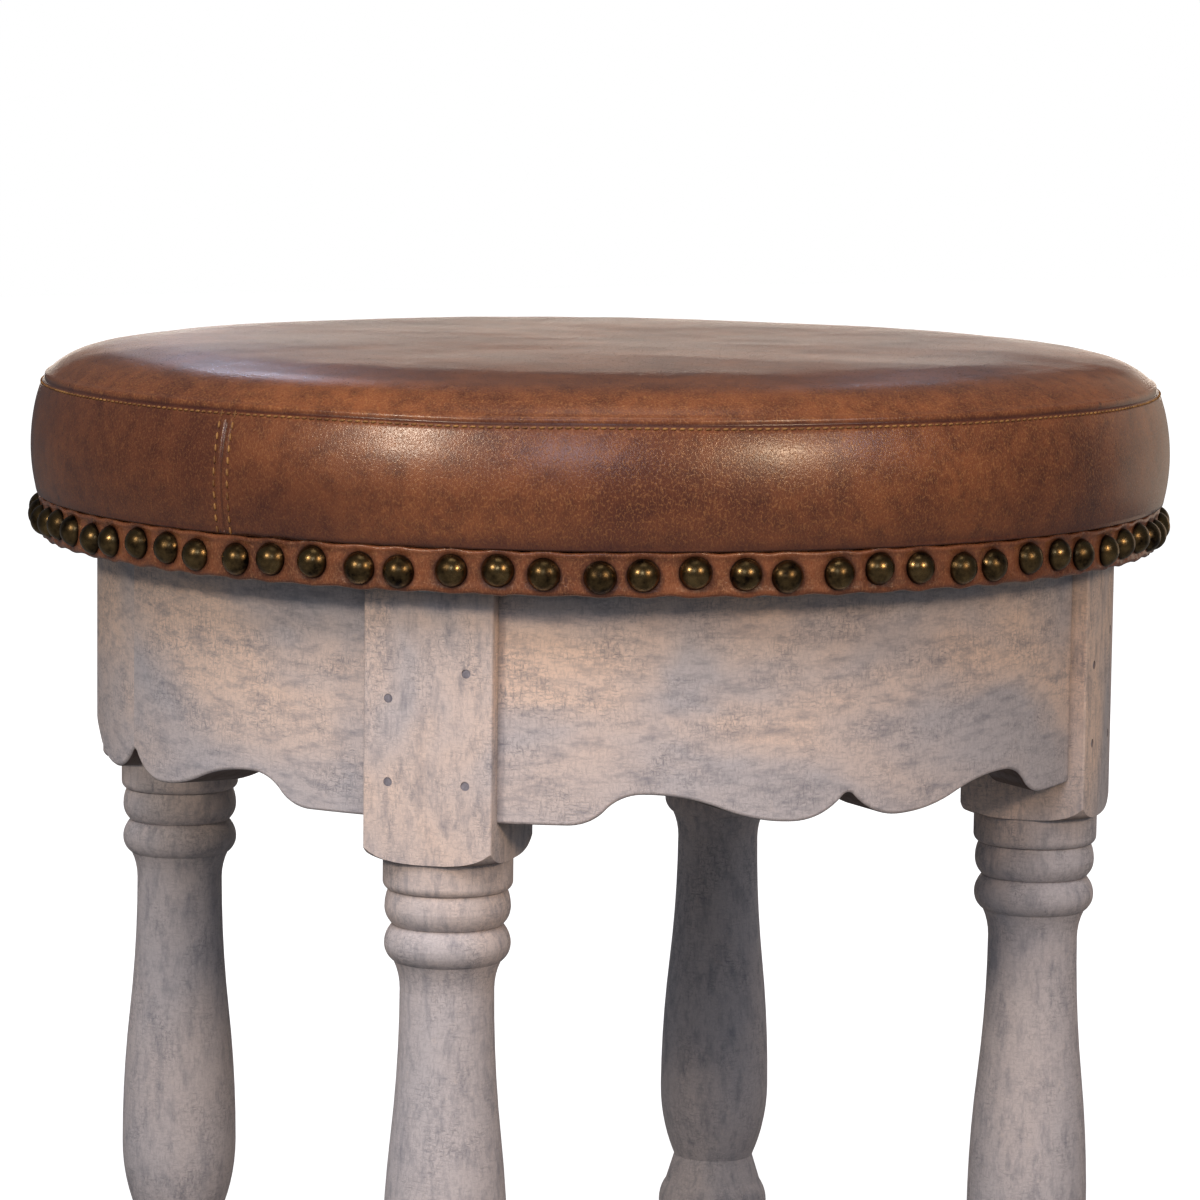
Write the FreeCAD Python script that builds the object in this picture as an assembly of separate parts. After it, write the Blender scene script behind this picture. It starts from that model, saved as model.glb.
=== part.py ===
import FreeCAD, Part
import math
import os

from FreeCAD import Vector

# Round upholstered dressing stool: a nailed leather seat on a ring of four curved, scalloped aprons,
# which are tenoned and pinned into four turned legs.
# Millimetres. +Z is up, and the origin is on the floor under the middle of the seat.
# The aprons face -Y (front), +X (right), +Y (back) and -X (left), and the legs stand between them.

LEG_ANGLES = {"front_left": -135.0, "front_right": -45.0, "back_right": 45.0, "back_left": 135.0}
SIDE_ANGLES = {"front": -90.0, "right": 0.0, "back": 90.0, "left": 180.0}
LEG_TO_SIDE = 45.0  # degrees between a leg and the middle of the apron beside it
GOLDEN_ANGLE = math.pi * (3 - math.sqrt(5))  # radians, a turn whose multiples never fall in step

# Seat
seat_height = 470.0  # floor to the middle of the crown
board_radius = 210.2
board_thick = 16.0
leather_thick = 1.3
soft_gap = 0.3  # between layers of the upholstery
crown_rise = 15.0  # top seam to the middle of the crown
crown_drop = 2.6  # middle of the crown to where the shoulder starts
shoulder_width = 25.6
boxing_height = 43.1  # crease above the trim band to the top seam
boxing_bulge = 4.3
seam_draw = 1.9  # how much further in the top seam is than the crease
seam_allowance = 10.0  # top panel turned down behind the boxing
wrap_width = 45.0  # boxing turned under the board

# Trim band and upholstery nails
band_width = 15.2
band_thick = 2.0
crease_overhang = 1.4  # the boxing over the outer face of the band
nail_count = 79
nail_first_angle = 0.66
nail_head_diameter = 11.8
nail_head_height = 4.9
nail_shank_diameter = 1.8
nail_shank_length = 13.0
nail_fit = 0.05  # round a shank
nail_step_wander = 1.3  # hand-set nails stray along the band
nail_height_wander = 0.9  # and up or down

# Dust cover under the board
dust_thick = 0.6
dust_margin = 3.0  # edge of the board to the edge of the cover
dust_step_width = 3.0  # where the cover climbs from the turned-under leather to the board
staple_count = 32
staple_width = 10.0
staple_wire = 0.8
staple_fit = 0.05
staple_nail_gap = 0.7  # point of a staple to the nails above it

# Legs, from the top down
board_overhang = 11.4  # edge of the board past the outer faces of the leg blocks
block_width = 47.6
block_out = 24.6  # leg axis to the middle of its outer face
block_drop = 15.2  # block below the apron's tabs
block_edge_round = 0.9
pommel_height = 7.5  # rounded shoulders at the foot of the block
collar_diameter = 46.4
collar_height = 11.8
collar_edge_height = 3.0
collar_groove_diameter = 42.4
upper_bead_diameter = 45.0
upper_bead_height = 12.6
bead_groove_diameter = 39.2
lower_bead_diameter = 45.1
lower_bead_height = 13.2
lower_bead_crown = 7.0  # groove to the widest place
cove_top_diameter = 38.4
cove_height = 10.4
vase_neck_diameter = 33.7
vase_belly_diameter = 45.5
vase_tail_height = 30.0  # belly to waist
waist_diameter = 33.2
flare_diameter = 40.0
flare_height = 11.0
flare_bead_diameter = 45.8
flare_bead_height = 18.0
ankle_groove_diameter = 35.6
ankle_ring_diameter = 41.4
ankle_ring_height = 11.0
foot_neck_diameter = 32.0
foot_diameter = 43.6
foot_crown_height = 22.5
foot_taper_height = 46.0
toe_diameter = 28.0
toe_round = 3.0

# Glides nailed under the feet
glide_diameter = 21.0
glide_thick = 4.0
glide_edge = 1.0
glide_nail_diameter = 2.6
glide_nail_length = 14.0
glide_fit = 0.05

# Aprons
apron_recess = 6.0  # behind the outer faces of the leg blocks
apron_thick = 22.0
apron_depth = 82.5  # frame top to the tabs beside the legs
apron_edge_round = 1.2
tab_length = 21.0  # along the apron's face
arch_setback = 23.4  # tab to the top of the arch
arch_rise = 11.1
lobe_offset = 21.1  # middle of the apron to the lowest place of a lobe
lobe_lift = 0.4  # lobes above the tabs
notch_rise = 9.2  # lobes to the top of the middle notch
notch_radius = 3.0

# Mortise and tenon joints with pins
tenon_thick = 10.0
tenon_length = 17.0
tenon_top_shoulder = 10.0
tenon_low_shoulder = 12.0
tenon_fit = 0.1
tenon_root = 0.2  # start of a tenon, inside the end of its apron
mortise_end_gap = 1.0
pin_diameter = 3.2
pin_inset = 9.5  # side of the block to the pins
pin_recess = 0.3
pin_past_tenon = 4.0
pin_fit = 0.02
pin_upper_drop = 34.3  # frame top to the upper pins
pin_lower_drop = 68.8
pin_stagger = 5.0  # upper pins of the two tenons in one block

# Cleats and screws
cleat_length = 110.0
cleat_thick = 24.0
cleat_depth = 22.0
screw_diameter = 4.0
screw_head_diameter = 8.0
screw_head_height = 2.4
screw_fit = 0.05
seat_screw_inset = 23.0  # end of a cleat to its seat screw
seat_screw_cover = 4.0  # board left over the point
cleat_screw_spacing = 28.0
cleat_screw_cover = 9.0  # apron left over the point

# Levels
seam_z = seat_height - crown_rise
crease_z = seam_z - boxing_height
band_top_z = crease_z - soft_gap
nail_z = band_top_z - band_width / 2
band_bottom_z = band_top_z - band_width
board_bottom_z = band_bottom_z + leather_thick
board_top_z = board_bottom_z + board_thick
shelf_z = crease_z + leather_thick  # top of the boxing where it turns in over the band
foam_bottom_z = max(board_top_z, shelf_z + soft_gap)
frame_top_z = band_bottom_z - dust_thick
tab_z = frame_top_z - apron_depth
block_bottom_z = tab_z - block_drop

# Radii from the stool's axis
boxing_flat_radius = board_radius + soft_gap + leather_thick
band_inner_radius = boxing_flat_radius + soft_gap
band_radius = band_inner_radius + band_thick
crease_radius = band_radius + crease_overhang
seam_radius = crease_radius - seam_draw
wrap_radius = board_radius - wrap_width
dust_radius = board_radius - dust_margin
block_face_radius = board_radius - board_overhang
staple_radius = (block_face_radius + dust_radius) / 2
leg_radius = block_face_radius - block_out
apron_radius = block_face_radius - apron_recess
apron_inner_radius = apron_radius - apron_thick
tenon_radius = math.sqrt((apron_radius - apron_thick / 2) ** 2 - (block_width / 2) ** 2)
cleat_inner = apron_inner_radius - cleat_thick

X_AXIS = Vector(1, 0, 0)
Z_AXIS = Vector(0, 0, 1)
AXIS_FOOT = Vector(0, 0, 0)
UPRIGHT = 0.99  # least share of an upright edge's direction that is up
ON_FACE = 0.01  # how close to a face an edge that lies on it is
EDGE_POINTS = 5  # points tried along an edge


def save(name, shape):
    shape.exportStep("parts/" + name + ".step")


def turned(shape, degrees):
    copy = shape.copy()
    copy.rotate(AXIS_FOOT, Z_AXIS, degrees)
    return copy


def line(start, end):
    return Part.LineSegment(start, end).toShape()


def tangent_arc(start, heading, end):
    """The arc that leaves start along heading and stops at end."""
    chord = end - start
    across = chord - heading * chord.dot(heading)
    across.normalize()
    radius = chord.dot(chord) / (2 * chord.dot(across))
    centre = start + across * radius
    outward = (start - centre) + (end - centre)
    outward.normalize()
    return Part.Arc(start, centre + outward * radius, end).toShape()


def ogee(start, heading, end, share=0.5):
    """Two arcs that leave start and reach end along the same heading; share is the first one's."""
    turn = start + (end - start) * share
    return [tangent_arc(start, heading, turn), tangent_arc(end, heading * -1, turn)]


def circle_arc(centre, radius, start, end):
    """The shorter arc about centre from start to end."""
    outward = (start - centre) + (end - centre)
    outward.normalize()
    return Part.Arc(start, centre + outward * radius, end).toShape()


def at(radius, z):
    """A point of a profile that is revolved about the stool's axis."""
    return Vector(radius, 0, z)


def circle_radius_at(centre, radius, z):
    """How far from the axis a profile's circle is at a height."""
    return centre.x + math.sqrt(radius ** 2 - (z - centre.z) ** 2)


def circles_meet(centre_a, radius_a, centre_b, radius_b):
    """The upper one of the two points where two circles of a profile cross."""
    between = centre_b - centre_a
    gap = between.Length
    along = (radius_a ** 2 - radius_b ** 2 + gap ** 2) / (2 * gap)
    aside = math.sqrt(radius_a ** 2 - along ** 2)
    between.normalize()
    foot = centre_a + between * along
    square = Vector(-between.z, 0, between.x)
    return max(foot + square * aside, foot - square * aside, key=lambda point: point.z)


def face_of(edges):
    return Part.Face(Part.Wire(Part.__sortEdges__(edges)))


def revolved(edges):
    solid = face_of(edges).revolve(AXIS_FOOT, Z_AXIS, 360)
    if solid.Volume < 0:
        solid.reverse()
    return solid


def polygon_prism(points, rise):
    corners = list(points) + [points[0]]
    return Part.Face(Part.makePolygon(corners)).extrude(rise)


def screw(head_centre, direction, length, fit):
    """A countersunk screw whose head is flush at head_centre, grown by fit all round."""
    head_radius = screw_head_diameter / 2 + fit
    shank_radius = screw_diameter / 2 + fit
    head = Part.makeCone(head_radius, shank_radius, screw_head_height, head_centre, direction)
    shank = Part.makeCylinder(shank_radius, length + fit, head_centre, direction)
    return head.fuse(shank).removeSplitter()


# Shoulder of the seat: one arc from the crown to the top seam
crown_radius = ((seam_radius - shoulder_width) ** 2 + crown_drop ** 2) / (2 * crown_drop)
crown_centre = at(0, seat_height - crown_radius)
shoulder_start = at(seam_radius - shoulder_width, seat_height - crown_drop)
seam_point = at(seam_radius, seam_z)
shoulder_up = shoulder_start - crown_centre
shoulder_up.normalize()
shoulder_chord = seam_point - shoulder_start
shoulder_radius = -shoulder_chord.dot(shoulder_chord) / (2 * shoulder_chord.dot(shoulder_up))
shoulder_centre = shoulder_start - shoulder_up * shoulder_radius

# Side of the seat: one bulging arc from the crease to the top seam
crease_point = at(crease_radius, crease_z)
side_chord = seam_point - crease_point
side_out = Vector(side_chord.z, 0, -side_chord.x)
side_out.normalize()
side_radius = ((side_chord.Length / 2) ** 2 + boxing_bulge ** 2) / (2 * boxing_bulge)
side_centre = (crease_point + seam_point) * 0.5 + side_out * (boxing_bulge - side_radius)


def crown_profile(inset):
    """Arcs from the axis over the crown, set in from the leather's face, and where the shoulder starts."""
    top = at(0, seat_height - inset)
    start = shoulder_start - shoulder_up * inset
    return tangent_arc(top, X_AXIS, start), start


def nail_place(index):
    """Angle and height of a hand-set nail: evenly spaced, but for a small stray that doesn't repeat."""
    turn = 2 * math.pi * index / nail_count
    stray = index * GOLDEN_ANGLE
    along = nail_step_wander * math.sin(stray)
    rise = nail_height_wander * math.cos(2 * stray)
    return nail_first_angle + math.degrees(turn + along / band_radius), nail_z + rise


def nail_shank(index, fit):
    angle, z = nail_place(index)
    tip = at(band_radius - nail_shank_length - fit, z)
    shank = Part.makeCylinder(nail_shank_diameter / 2 + fit, nail_shank_length + fit, tip, X_AXIS)
    return turned(shank, angle)


def nail(index):
    angle, z = nail_place(index)
    back = at(band_radius, z)
    rim = back + Z_AXIS * (nail_head_diameter / 2)
    tip = back + X_AXIS * nail_head_height
    dome = face_of([line(back, rim), tangent_arc(tip, Z_AXIS, rim), line(tip, back)])
    head = dome.revolve(back, X_AXIS, 360)
    return turned(head, angle).fuse(nail_shank(index, 0)).removeSplitter()


def staple(index, fit):
    """A staple driven up through the dust cover and the leather into the board."""
    top_z = nail_z - nail_height_wander - nail_shank_diameter / 2 - staple_nail_gap
    crown_bottom_z = frame_top_z - staple_wire
    inner = staple_radius - staple_wire / 2 - fit
    wire = staple_wire + 2 * fit
    leg_height = top_z - crown_bottom_z + fit
    crown_corner = Vector(inner, -staple_width / 2 - fit, crown_bottom_z)
    crown = Part.makeBox(wire, staple_width + 2 * fit, staple_wire, crown_corner)
    legs = []
    for start in (-staple_width / 2, staple_width / 2 - staple_wire):
        legs.append(Part.makeBox(wire, wire, leg_height, Vector(inner, start - fit, crown_bottom_z)))
    return turned(crown.fuse(legs).removeSplitter(), 360.0 * index / staple_count)


def seat_screw_places():
    """Where the seat screws' heads are, in the frame of a cleat that faces +X."""
    places = []
    for side in (-1, 1):
        across = side * (cleat_length / 2 - seat_screw_inset)
        outer = math.sqrt(apron_inner_radius ** 2 - across ** 2)
        places.append(Vector((cleat_inner + outer) / 2, across, frame_top_z - cleat_depth))
    return places


def seat_screws(fit):
    length = board_top_z - seat_screw_cover - (frame_top_z - cleat_depth)
    return [screw(place, Z_AXIS, length, fit) for place in seat_screw_places()]


def cleat_screws(fit):
    screws = []
    for side in (-1, 1):
        across = side * cleat_screw_spacing / 2
        head = Vector(cleat_inner, across, frame_top_z - cleat_depth / 2)
        tip = math.sqrt(apron_radius ** 2 - across ** 2) - cleat_screw_cover
        screws.append(screw(head, X_AXIS, tip - cleat_inner, fit))
    return screws


def round_the_sides(shapes):
    return [turned(shape, angle) for angle in SIDE_ANGLES.values() for shape in shapes]


def round_the_legs(shapes):
    return [turned(shape, angle) for angle in LEG_ANGLES.values() for shape in shapes]


def tenon(fit, side, end_gap, root):
    """One tenon in the frame of a leg on +X, on the side of the block with that sign."""
    face = block_width / 2
    start = face - tenon_length - end_gap
    bottom = tab_z + tenon_low_shoulder - fit
    height = frame_top_z - tenon_top_shoulder + fit - bottom
    length = tenon_length + end_gap + root
    low = start if side > 0 else -start - length
    corner = Vector(tenon_radius - tenon_thick / 2 - fit, low, bottom)
    return Part.makeBox(tenon_thick + 2 * fit, length, height, corner)


def tenon_pins(fit):
    """The four pins of a leg on +X, from the outer face of its block through both tenons."""
    pins = []
    inner = tenon_radius - tenon_thick / 2 - pin_past_tenon
    for side in (-1, 1):
        across = side * (block_width / 2 - pin_inset)
        outer = math.sqrt(block_face_radius ** 2 - across ** 2) - pin_recess
        for drop in (pin_upper_drop - side * pin_stagger, pin_lower_drop):
            start = Vector(inner - fit, across, frame_top_z - drop)
            pins.append(Part.makeCylinder(pin_diameter / 2 + fit, outer - inner + fit, start, X_AXIS))
    return pins


def pin_mouths():
    """The short open ends of the pin holes, in the outer face of a leg's block."""
    mouths = []
    for pin in tenon_pins(pin_fit):
        mouths.append(pin.translated(X_AXIS * (pin_recess + pin_diameter)))
    return mouths


def seat_board():
    board = Part.makeCylinder(board_radius, board_thick, at(0, board_bottom_z))
    return board.cut(nail_holes + staple_holes + seat_screw_holes)


def seat_foam():
    inset = 2 * (leather_thick + soft_gap)
    crown, start = crown_profile(leather_thick + soft_gap)
    side = side_radius - inset
    shoulder = shoulder_radius - leather_thick - soft_gap
    corner = circles_meet(side_centre, side, shoulder_centre, shoulder)
    base = at(circle_radius_at(side_centre, side, foam_bottom_z), foam_bottom_z)
    middle = at(0, foam_bottom_z)
    return revolved([
        crown,
        circle_arc(shoulder_centre, shoulder, start, corner),
        circle_arc(side_centre, side, corner, base),
        line(base, middle),
        line(middle, at(0, seat_height - leather_thick - soft_gap)),
    ])


def leather_top_panel():
    """Crown and shoulder, with the seam allowance turned down behind the boxing."""
    crown, start = crown_profile(0)
    inner_crown, inner_start = crown_profile(leather_thick)
    inner_shoulder = shoulder_radius - leather_thick
    outer_side = side_radius - leather_thick - soft_gap
    inner_side = outer_side - leather_thick
    hem_z = seam_z - seam_allowance
    fold = at(circle_radius_at(side_centre, outer_side, seam_z), seam_z)
    hem_out = at(circle_radius_at(side_centre, outer_side, hem_z), hem_z)
    hem_in = at(circle_radius_at(side_centre, inner_side, hem_z), hem_z)
    corner = circles_meet(side_centre, inner_side, shoulder_centre, inner_shoulder)
    return revolved([
        crown,
        circle_arc(shoulder_centre, shoulder_radius, start, seam_point),
        line(seam_point, fold),
        circle_arc(side_centre, outer_side, fold, hem_out),
        line(hem_out, hem_in),
        circle_arc(side_centre, inner_side, hem_in, corner),
        circle_arc(shoulder_centre, inner_shoulder, corner, inner_start),
        inner_crown,
        line(at(0, seat_height - leather_thick), at(0, seat_height)),
    ])


def leather_boxing():
    """The side strip: bulged above the band, flat behind it and turned under the board."""
    inner_side = side_radius - leather_thick
    inner_flat = boxing_flat_radius - leather_thick
    top_in = at(circle_radius_at(side_centre, inner_side, seam_z), seam_z)
    shelf_out = at(circle_radius_at(side_centre, inner_side, shelf_z), shelf_z)
    corners = [
        shelf_out,
        at(inner_flat, shelf_z),
        at(inner_flat, board_bottom_z),
        at(wrap_radius, board_bottom_z),
        at(wrap_radius, band_bottom_z),
        at(boxing_flat_radius, band_bottom_z),
        at(boxing_flat_radius, crease_z),
        crease_point,
    ]
    edges = [line(start, end) for start, end in zip(corners, corners[1:])]
    edges.append(circle_arc(side_centre, side_radius, crease_point, seam_point))
    edges.append(line(seam_point, top_in))
    edges.append(circle_arc(side_centre, inner_side, top_in, shelf_out))
    return revolved(edges).cut(nail_holes + staple_holes + seat_screw_holes)


def leather_trim_band():
    outer = Part.makeCylinder(band_radius, band_width, at(0, band_bottom_z))
    inner = Part.makeCylinder(band_inner_radius, band_width, at(0, band_bottom_z))
    return outer.cut(inner).cut(nail_holes)


def dust_cover():
    """Thin cloth that lies on the board in the middle and on the turned-under leather outside."""
    step_end = wrap_radius - soft_gap
    step_start = step_end - dust_step_width
    upper = [
        at(0, board_bottom_z),
        at(step_start, board_bottom_z),
        at(step_end, band_bottom_z),
        at(dust_radius, band_bottom_z),
    ]
    lower = [point - Z_AXIS * dust_thick for point in reversed(upper)]
    corners = upper + lower + upper[:1]
    edges = [line(start, end) for start, end in zip(corners, corners[1:])]
    return revolved(edges).cut(staple_holes + seat_screw_holes)


def leg_turning():
    """The turned length of a leg about its own axis, from the block down to the toe."""
    z = block_bottom_z
    others = (collar_height + upper_bead_height + lower_bead_height + cove_height + vase_tail_height
              + flare_height + flare_bead_height + ankle_ring_height + foot_crown_height + foot_taper_height)
    vase_length = block_bottom_z - glide_thick - others
    up = Z_AXIS
    down = Z_AXIS * -1

    collar_top = at(collar_diameter / 2, z)
    collar_edge = at(collar_diameter / 2, z - collar_height + collar_edge_height)
    z -= collar_height
    collar_groove = at(collar_groove_diameter / 2, z)
    upper_bead = at(upper_bead_diameter / 2, z - upper_bead_height / 2)
    z -= upper_bead_height
    bead_groove = at(bead_groove_diameter / 2, z)
    lower_bead = at(lower_bead_diameter / 2, z - lower_bead_crown)
    z -= lower_bead_height
    cove_top = at(cove_top_diameter / 2, z)
    z -= cove_height
    neck = at(vase_neck_diameter / 2, z)
    z -= vase_length
    belly = at(vase_belly_diameter / 2, z)
    z -= vase_tail_height
    waist = at(waist_diameter / 2, z)
    z -= flare_height
    flare = at(flare_diameter / 2, z)
    flare_bead = at(flare_bead_diameter / 2, z - flare_bead_height / 2)
    z -= flare_bead_height
    ankle_groove = at(ankle_groove_diameter / 2, z)
    ankle_ring = at(ankle_ring_diameter / 2, z - ankle_ring_height / 2)
    z -= ankle_ring_height
    foot_neck = at(foot_neck_diameter / 2, z)
    z -= foot_crown_height
    foot = at(foot_diameter / 2, z)
    toe = at(toe_diameter / 2, glide_thick + toe_round)
    sole = at(toe_diameter / 2 - toe_round, glide_thick)

    edges = [
        line(at(0, block_bottom_z), collar_top),
        line(collar_top, collar_edge),
        tangent_arc(collar_edge, down, collar_groove),
        tangent_arc(upper_bead, up, collar_groove),
        tangent_arc(upper_bead, down, bead_groove),
        tangent_arc(lower_bead, up, bead_groove),
        tangent_arc(lower_bead, down, cove_top),
        tangent_arc(neck, up, cove_top),
    ]
    edges += ogee(neck, down, belly)
    edges += [
        tangent_arc(belly, down, waist),
        line(waist, flare),
        tangent_arc(flare_bead, up, flare),
        tangent_arc(flare_bead, down, ankle_groove),
        tangent_arc(ankle_ring, up, ankle_groove),
        tangent_arc(ankle_ring, down, foot_neck),
        tangent_arc(foot, up, foot_neck),
        tangent_arc(foot, down, toe),
        tangent_arc(sole, X_AXIS, toe),
        line(sole, at(0, glide_thick)),
        line(at(0, glide_thick), at(0, block_bottom_z)),
    ]
    return revolved(edges)


def leg_block():
    """The square length of a leg about its own axis, with a curved outer face and turned shoulders."""
    half = block_width / 2
    height = frame_top_z - block_bottom_z
    corner_x = math.sqrt(block_face_radius ** 2 - half ** 2) - leg_radius
    outer = [Vector(corner_x, -half, block_bottom_z), Vector(block_out, 0, block_bottom_z)]
    outer.append(Vector(corner_x, half, block_bottom_z))
    inner = [Vector(-half, half, block_bottom_z), Vector(-half, -half, block_bottom_z)]
    outline = [
        Part.Arc(*outer).toShape(),
        line(outer[2], inner[0]),
        line(inner[0], inner[1]),
        line(inner[1], outer[0]),
    ]
    block = face_of(outline).extrude(Z_AXIS * height)
    upright = [edge for edge in block.Edges if abs(edge.tangentAt(edge.FirstParameter).z) > UPRIGHT]
    block = block.makeFillet(block_edge_round, upright)

    collar = collar_diameter / 2
    corner_reach = math.hypot(block_out, half)
    shoulder_end = at(corner_reach, block_bottom_z + pommel_height)
    top_end = at(corner_reach, frame_top_z)
    shoulders = revolved([
        line(at(0, block_bottom_z), at(collar, block_bottom_z)),
        tangent_arc(at(collar, block_bottom_z), X_AXIS, shoulder_end),
        line(shoulder_end, top_end),
        line(top_end, at(0, frame_top_z)),
        line(at(0, frame_top_z), at(0, block_bottom_z)),
    ])
    return block.common(shoulders)


def leg():
    """A leg on +X, with its mortises and its holes for pins and the glide's nail."""
    body = leg_block().fuse(leg_turning())
    body.translate(X_AXIS * leg_radius)
    mortises = [tenon(tenon_fit, side, mortise_end_gap, block_edge_round) for side in (-1, 1)]
    nail_hole = glide_nail(glide_fit)
    return body.cut(mortises + tenon_pins(pin_fit) + pin_mouths() + [nail_hole]).removeSplitter()


def glide_nail(fit):
    foot = Vector(leg_radius, 0, glide_thick)
    return Part.makeCylinder(glide_nail_diameter / 2 + fit, glide_nail_length + fit, foot)


def foot_glide():
    """A round glide under a leg on +X, with the nail that holds it."""
    radius = glide_diameter / 2
    edge = Part.makeCone(radius - glide_edge, radius, glide_edge, Vector(leg_radius, 0, 0))
    disc = Part.makeCylinder(radius, glide_thick - glide_edge, Vector(leg_radius, 0, glide_edge))
    return disc.fuse([edge, glide_nail(0)]).removeSplitter()


def apron_outline():
    """The scalloped face of an apron that faces +X, from its middle to both ends."""
    end_angle = math.radians(LEG_TO_SIDE) - math.asin(block_width / 2 / apron_radius)
    end = apron_radius * math.sin(end_angle)
    lobe_z = tab_z + lobe_lift
    notch_top_z = lobe_z + notch_rise
    tab_end = Vector(0, end - tab_length, tab_z)
    arch = Vector(0, tab_end.y - arch_setback, tab_z + arch_rise)
    lobe = Vector(0, lobe_offset, lobe_z)
    notch = Vector(0, 0, notch_top_z)
    along = Vector(0, 1, 0)

    low_corner = Vector(0, end + apron_thick, tab_z)
    top_corner = Vector(0, end + apron_thick, frame_top_z)
    half = [line(top_corner, low_corner), line(low_corner, tab_end)]
    half += ogee(tab_end, along * -1, arch)
    half += ogee(arch, along * -1, lobe)
    both_radii = (lobe_offset ** 2 + notch_rise ** 2) / (2 * notch_rise)
    half += ogee(notch, along, lobe, notch_radius / both_radii)
    other = [edge.mirror(AXIS_FOOT, along) for edge in half]
    top = line(top_corner, Vector(0, -top_corner.y, frame_top_z))
    return face_of(half + other + [top])


def apron():
    """A curved, scalloped apron that faces +X, with a tenon at each end."""
    height = frame_top_z - tab_z
    back_to_front = 180.0  # puts the cylinders' own seams behind the stool
    outer = turned(Part.makeCylinder(apron_radius, height, at(0, tab_z)), back_to_front)
    inner = turned(Part.makeCylinder(apron_inner_radius, height, at(0, tab_z)), back_to_front)
    face = apron_outline().extrude(X_AXIS * (apron_radius + apron_thick))
    apex = block_width / 2 / math.sin(math.radians(LEG_TO_SIDE))
    reach = 2 * apron_radius
    wedge = polygon_prism([
        Vector(apex, 0, tab_z),
        Vector(apex + reach, reach, tab_z),
        Vector(apex + reach, -reach, tab_z),
    ], Z_AXIS * height)
    body = outer.cut(inner).common(face).common(wedge)
    rounded = [edge for edge in body.Edges if is_lower_outer_edge(edge)]
    body = body.makeFillet(apron_edge_round, rounded)
    tenons = []
    for side in (-1, 1):
        tenons.append(turned(tenon(0, -side, 0, tenon_root), side * LEG_TO_SIDE))
    body = body.fuse(tenons).removeSplitter()
    holes = cleat_screws(screw_fit)
    for side in (-1, 1):
        holes += [turned(pin, side * LEG_TO_SIDE) for pin in tenon_pins(pin_fit)]
    return body.cut(holes)


def is_lower_outer_edge(edge):
    """True for the edges where an apron's outer face meets its scalloped underside."""
    points = edge.discretize(EDGE_POINTS)
    on_face = all(abs(math.hypot(point.x, point.y) - apron_radius) < ON_FACE for point in points)
    level = max(point.z for point in points) < frame_top_z - apron_depth / 2
    return on_face and level


def seat_cleat():
    """A block behind an apron that faces +X, which the seat is screwed to."""
    bottom = frame_top_z - cleat_depth
    filling = Part.makeCylinder(apron_inner_radius, cleat_depth, at(0, bottom))
    corner = Vector(cleat_inner, -cleat_length / 2, bottom)
    strip = Part.makeBox(apron_inner_radius, cleat_length, cleat_depth, corner)
    return filling.common(strip).cut(seat_screws(screw_fit) + cleat_screws(screw_fit))


os.makedirs("parts", exist_ok=True)

nail_holes = [nail_shank(index, nail_fit) for index in range(nail_count)]
staple_holes = [staple(index, staple_fit) for index in range(staple_count)]
seat_screw_holes = round_the_sides(seat_screws(screw_fit))

save("seat_board", seat_board())
save("seat_foam", seat_foam())
save("leather_top_panel", leather_top_panel())
save("leather_boxing", leather_boxing())
save("leather_trim_band", leather_trim_band())
save("upholstery_nails", Part.makeCompound([nail(index) for index in range(nail_count)]))
save("dust_cover", dust_cover())
save("dust_cover_staples", Part.makeCompound([staple(index, 0) for index in range(staple_count)]))

leg_shape = leg()
glide_shape = foot_glide()
for corner, angle in LEG_ANGLES.items():
    save("leg_" + corner, turned(leg_shape, angle))
    save("foot_glide_" + corner, turned(glide_shape, angle))

apron_shape = apron()
cleat_shape = seat_cleat()
for side, angle in SIDE_ANGLES.items():
    save("apron_" + side, turned(apron_shape, angle))
    save("seat_cleat_" + side, turned(cleat_shape, angle))

save("tenon_pins", Part.makeCompound(round_the_legs(tenon_pins(0))))
save("seat_screws", Part.makeCompound(round_the_sides(seat_screws(0))))
save("cleat_screws", Part.makeCompound(round_the_sides(cleat_screws(0))))
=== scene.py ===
import math

import bmesh
import bpy
from mathutils import Matrix, Vector, noise


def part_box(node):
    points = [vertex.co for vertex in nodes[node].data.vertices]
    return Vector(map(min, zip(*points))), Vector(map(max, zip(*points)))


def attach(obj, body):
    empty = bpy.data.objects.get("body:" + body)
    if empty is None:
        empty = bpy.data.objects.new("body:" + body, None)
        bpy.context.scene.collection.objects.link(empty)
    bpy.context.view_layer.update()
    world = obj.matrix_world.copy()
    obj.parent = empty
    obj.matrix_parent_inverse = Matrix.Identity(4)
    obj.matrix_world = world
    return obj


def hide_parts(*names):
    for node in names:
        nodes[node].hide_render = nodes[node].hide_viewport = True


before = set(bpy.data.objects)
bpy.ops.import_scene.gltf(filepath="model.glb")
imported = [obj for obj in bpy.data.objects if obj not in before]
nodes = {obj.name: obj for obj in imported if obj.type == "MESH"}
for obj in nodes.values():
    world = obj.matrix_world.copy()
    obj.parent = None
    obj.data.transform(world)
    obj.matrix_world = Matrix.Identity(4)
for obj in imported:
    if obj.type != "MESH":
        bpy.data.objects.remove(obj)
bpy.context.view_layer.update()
scene = bpy.context.scene
scene.view_settings.view_transform = "Standard"

MM = 0.001

# Places that the CAD gives
TOP_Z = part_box("leather_top_panel")[1][2]
SEAM_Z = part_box("leather_boxing")[1][2]
BAND_LOW, BAND_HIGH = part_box("leather_trim_band")
BAND_RADIUS = BAND_HIGH[0]
BOARD_LOW, BOARD_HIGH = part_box("seat_board")
DUST_LOW, DUST_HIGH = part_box("dust_cover")

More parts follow.
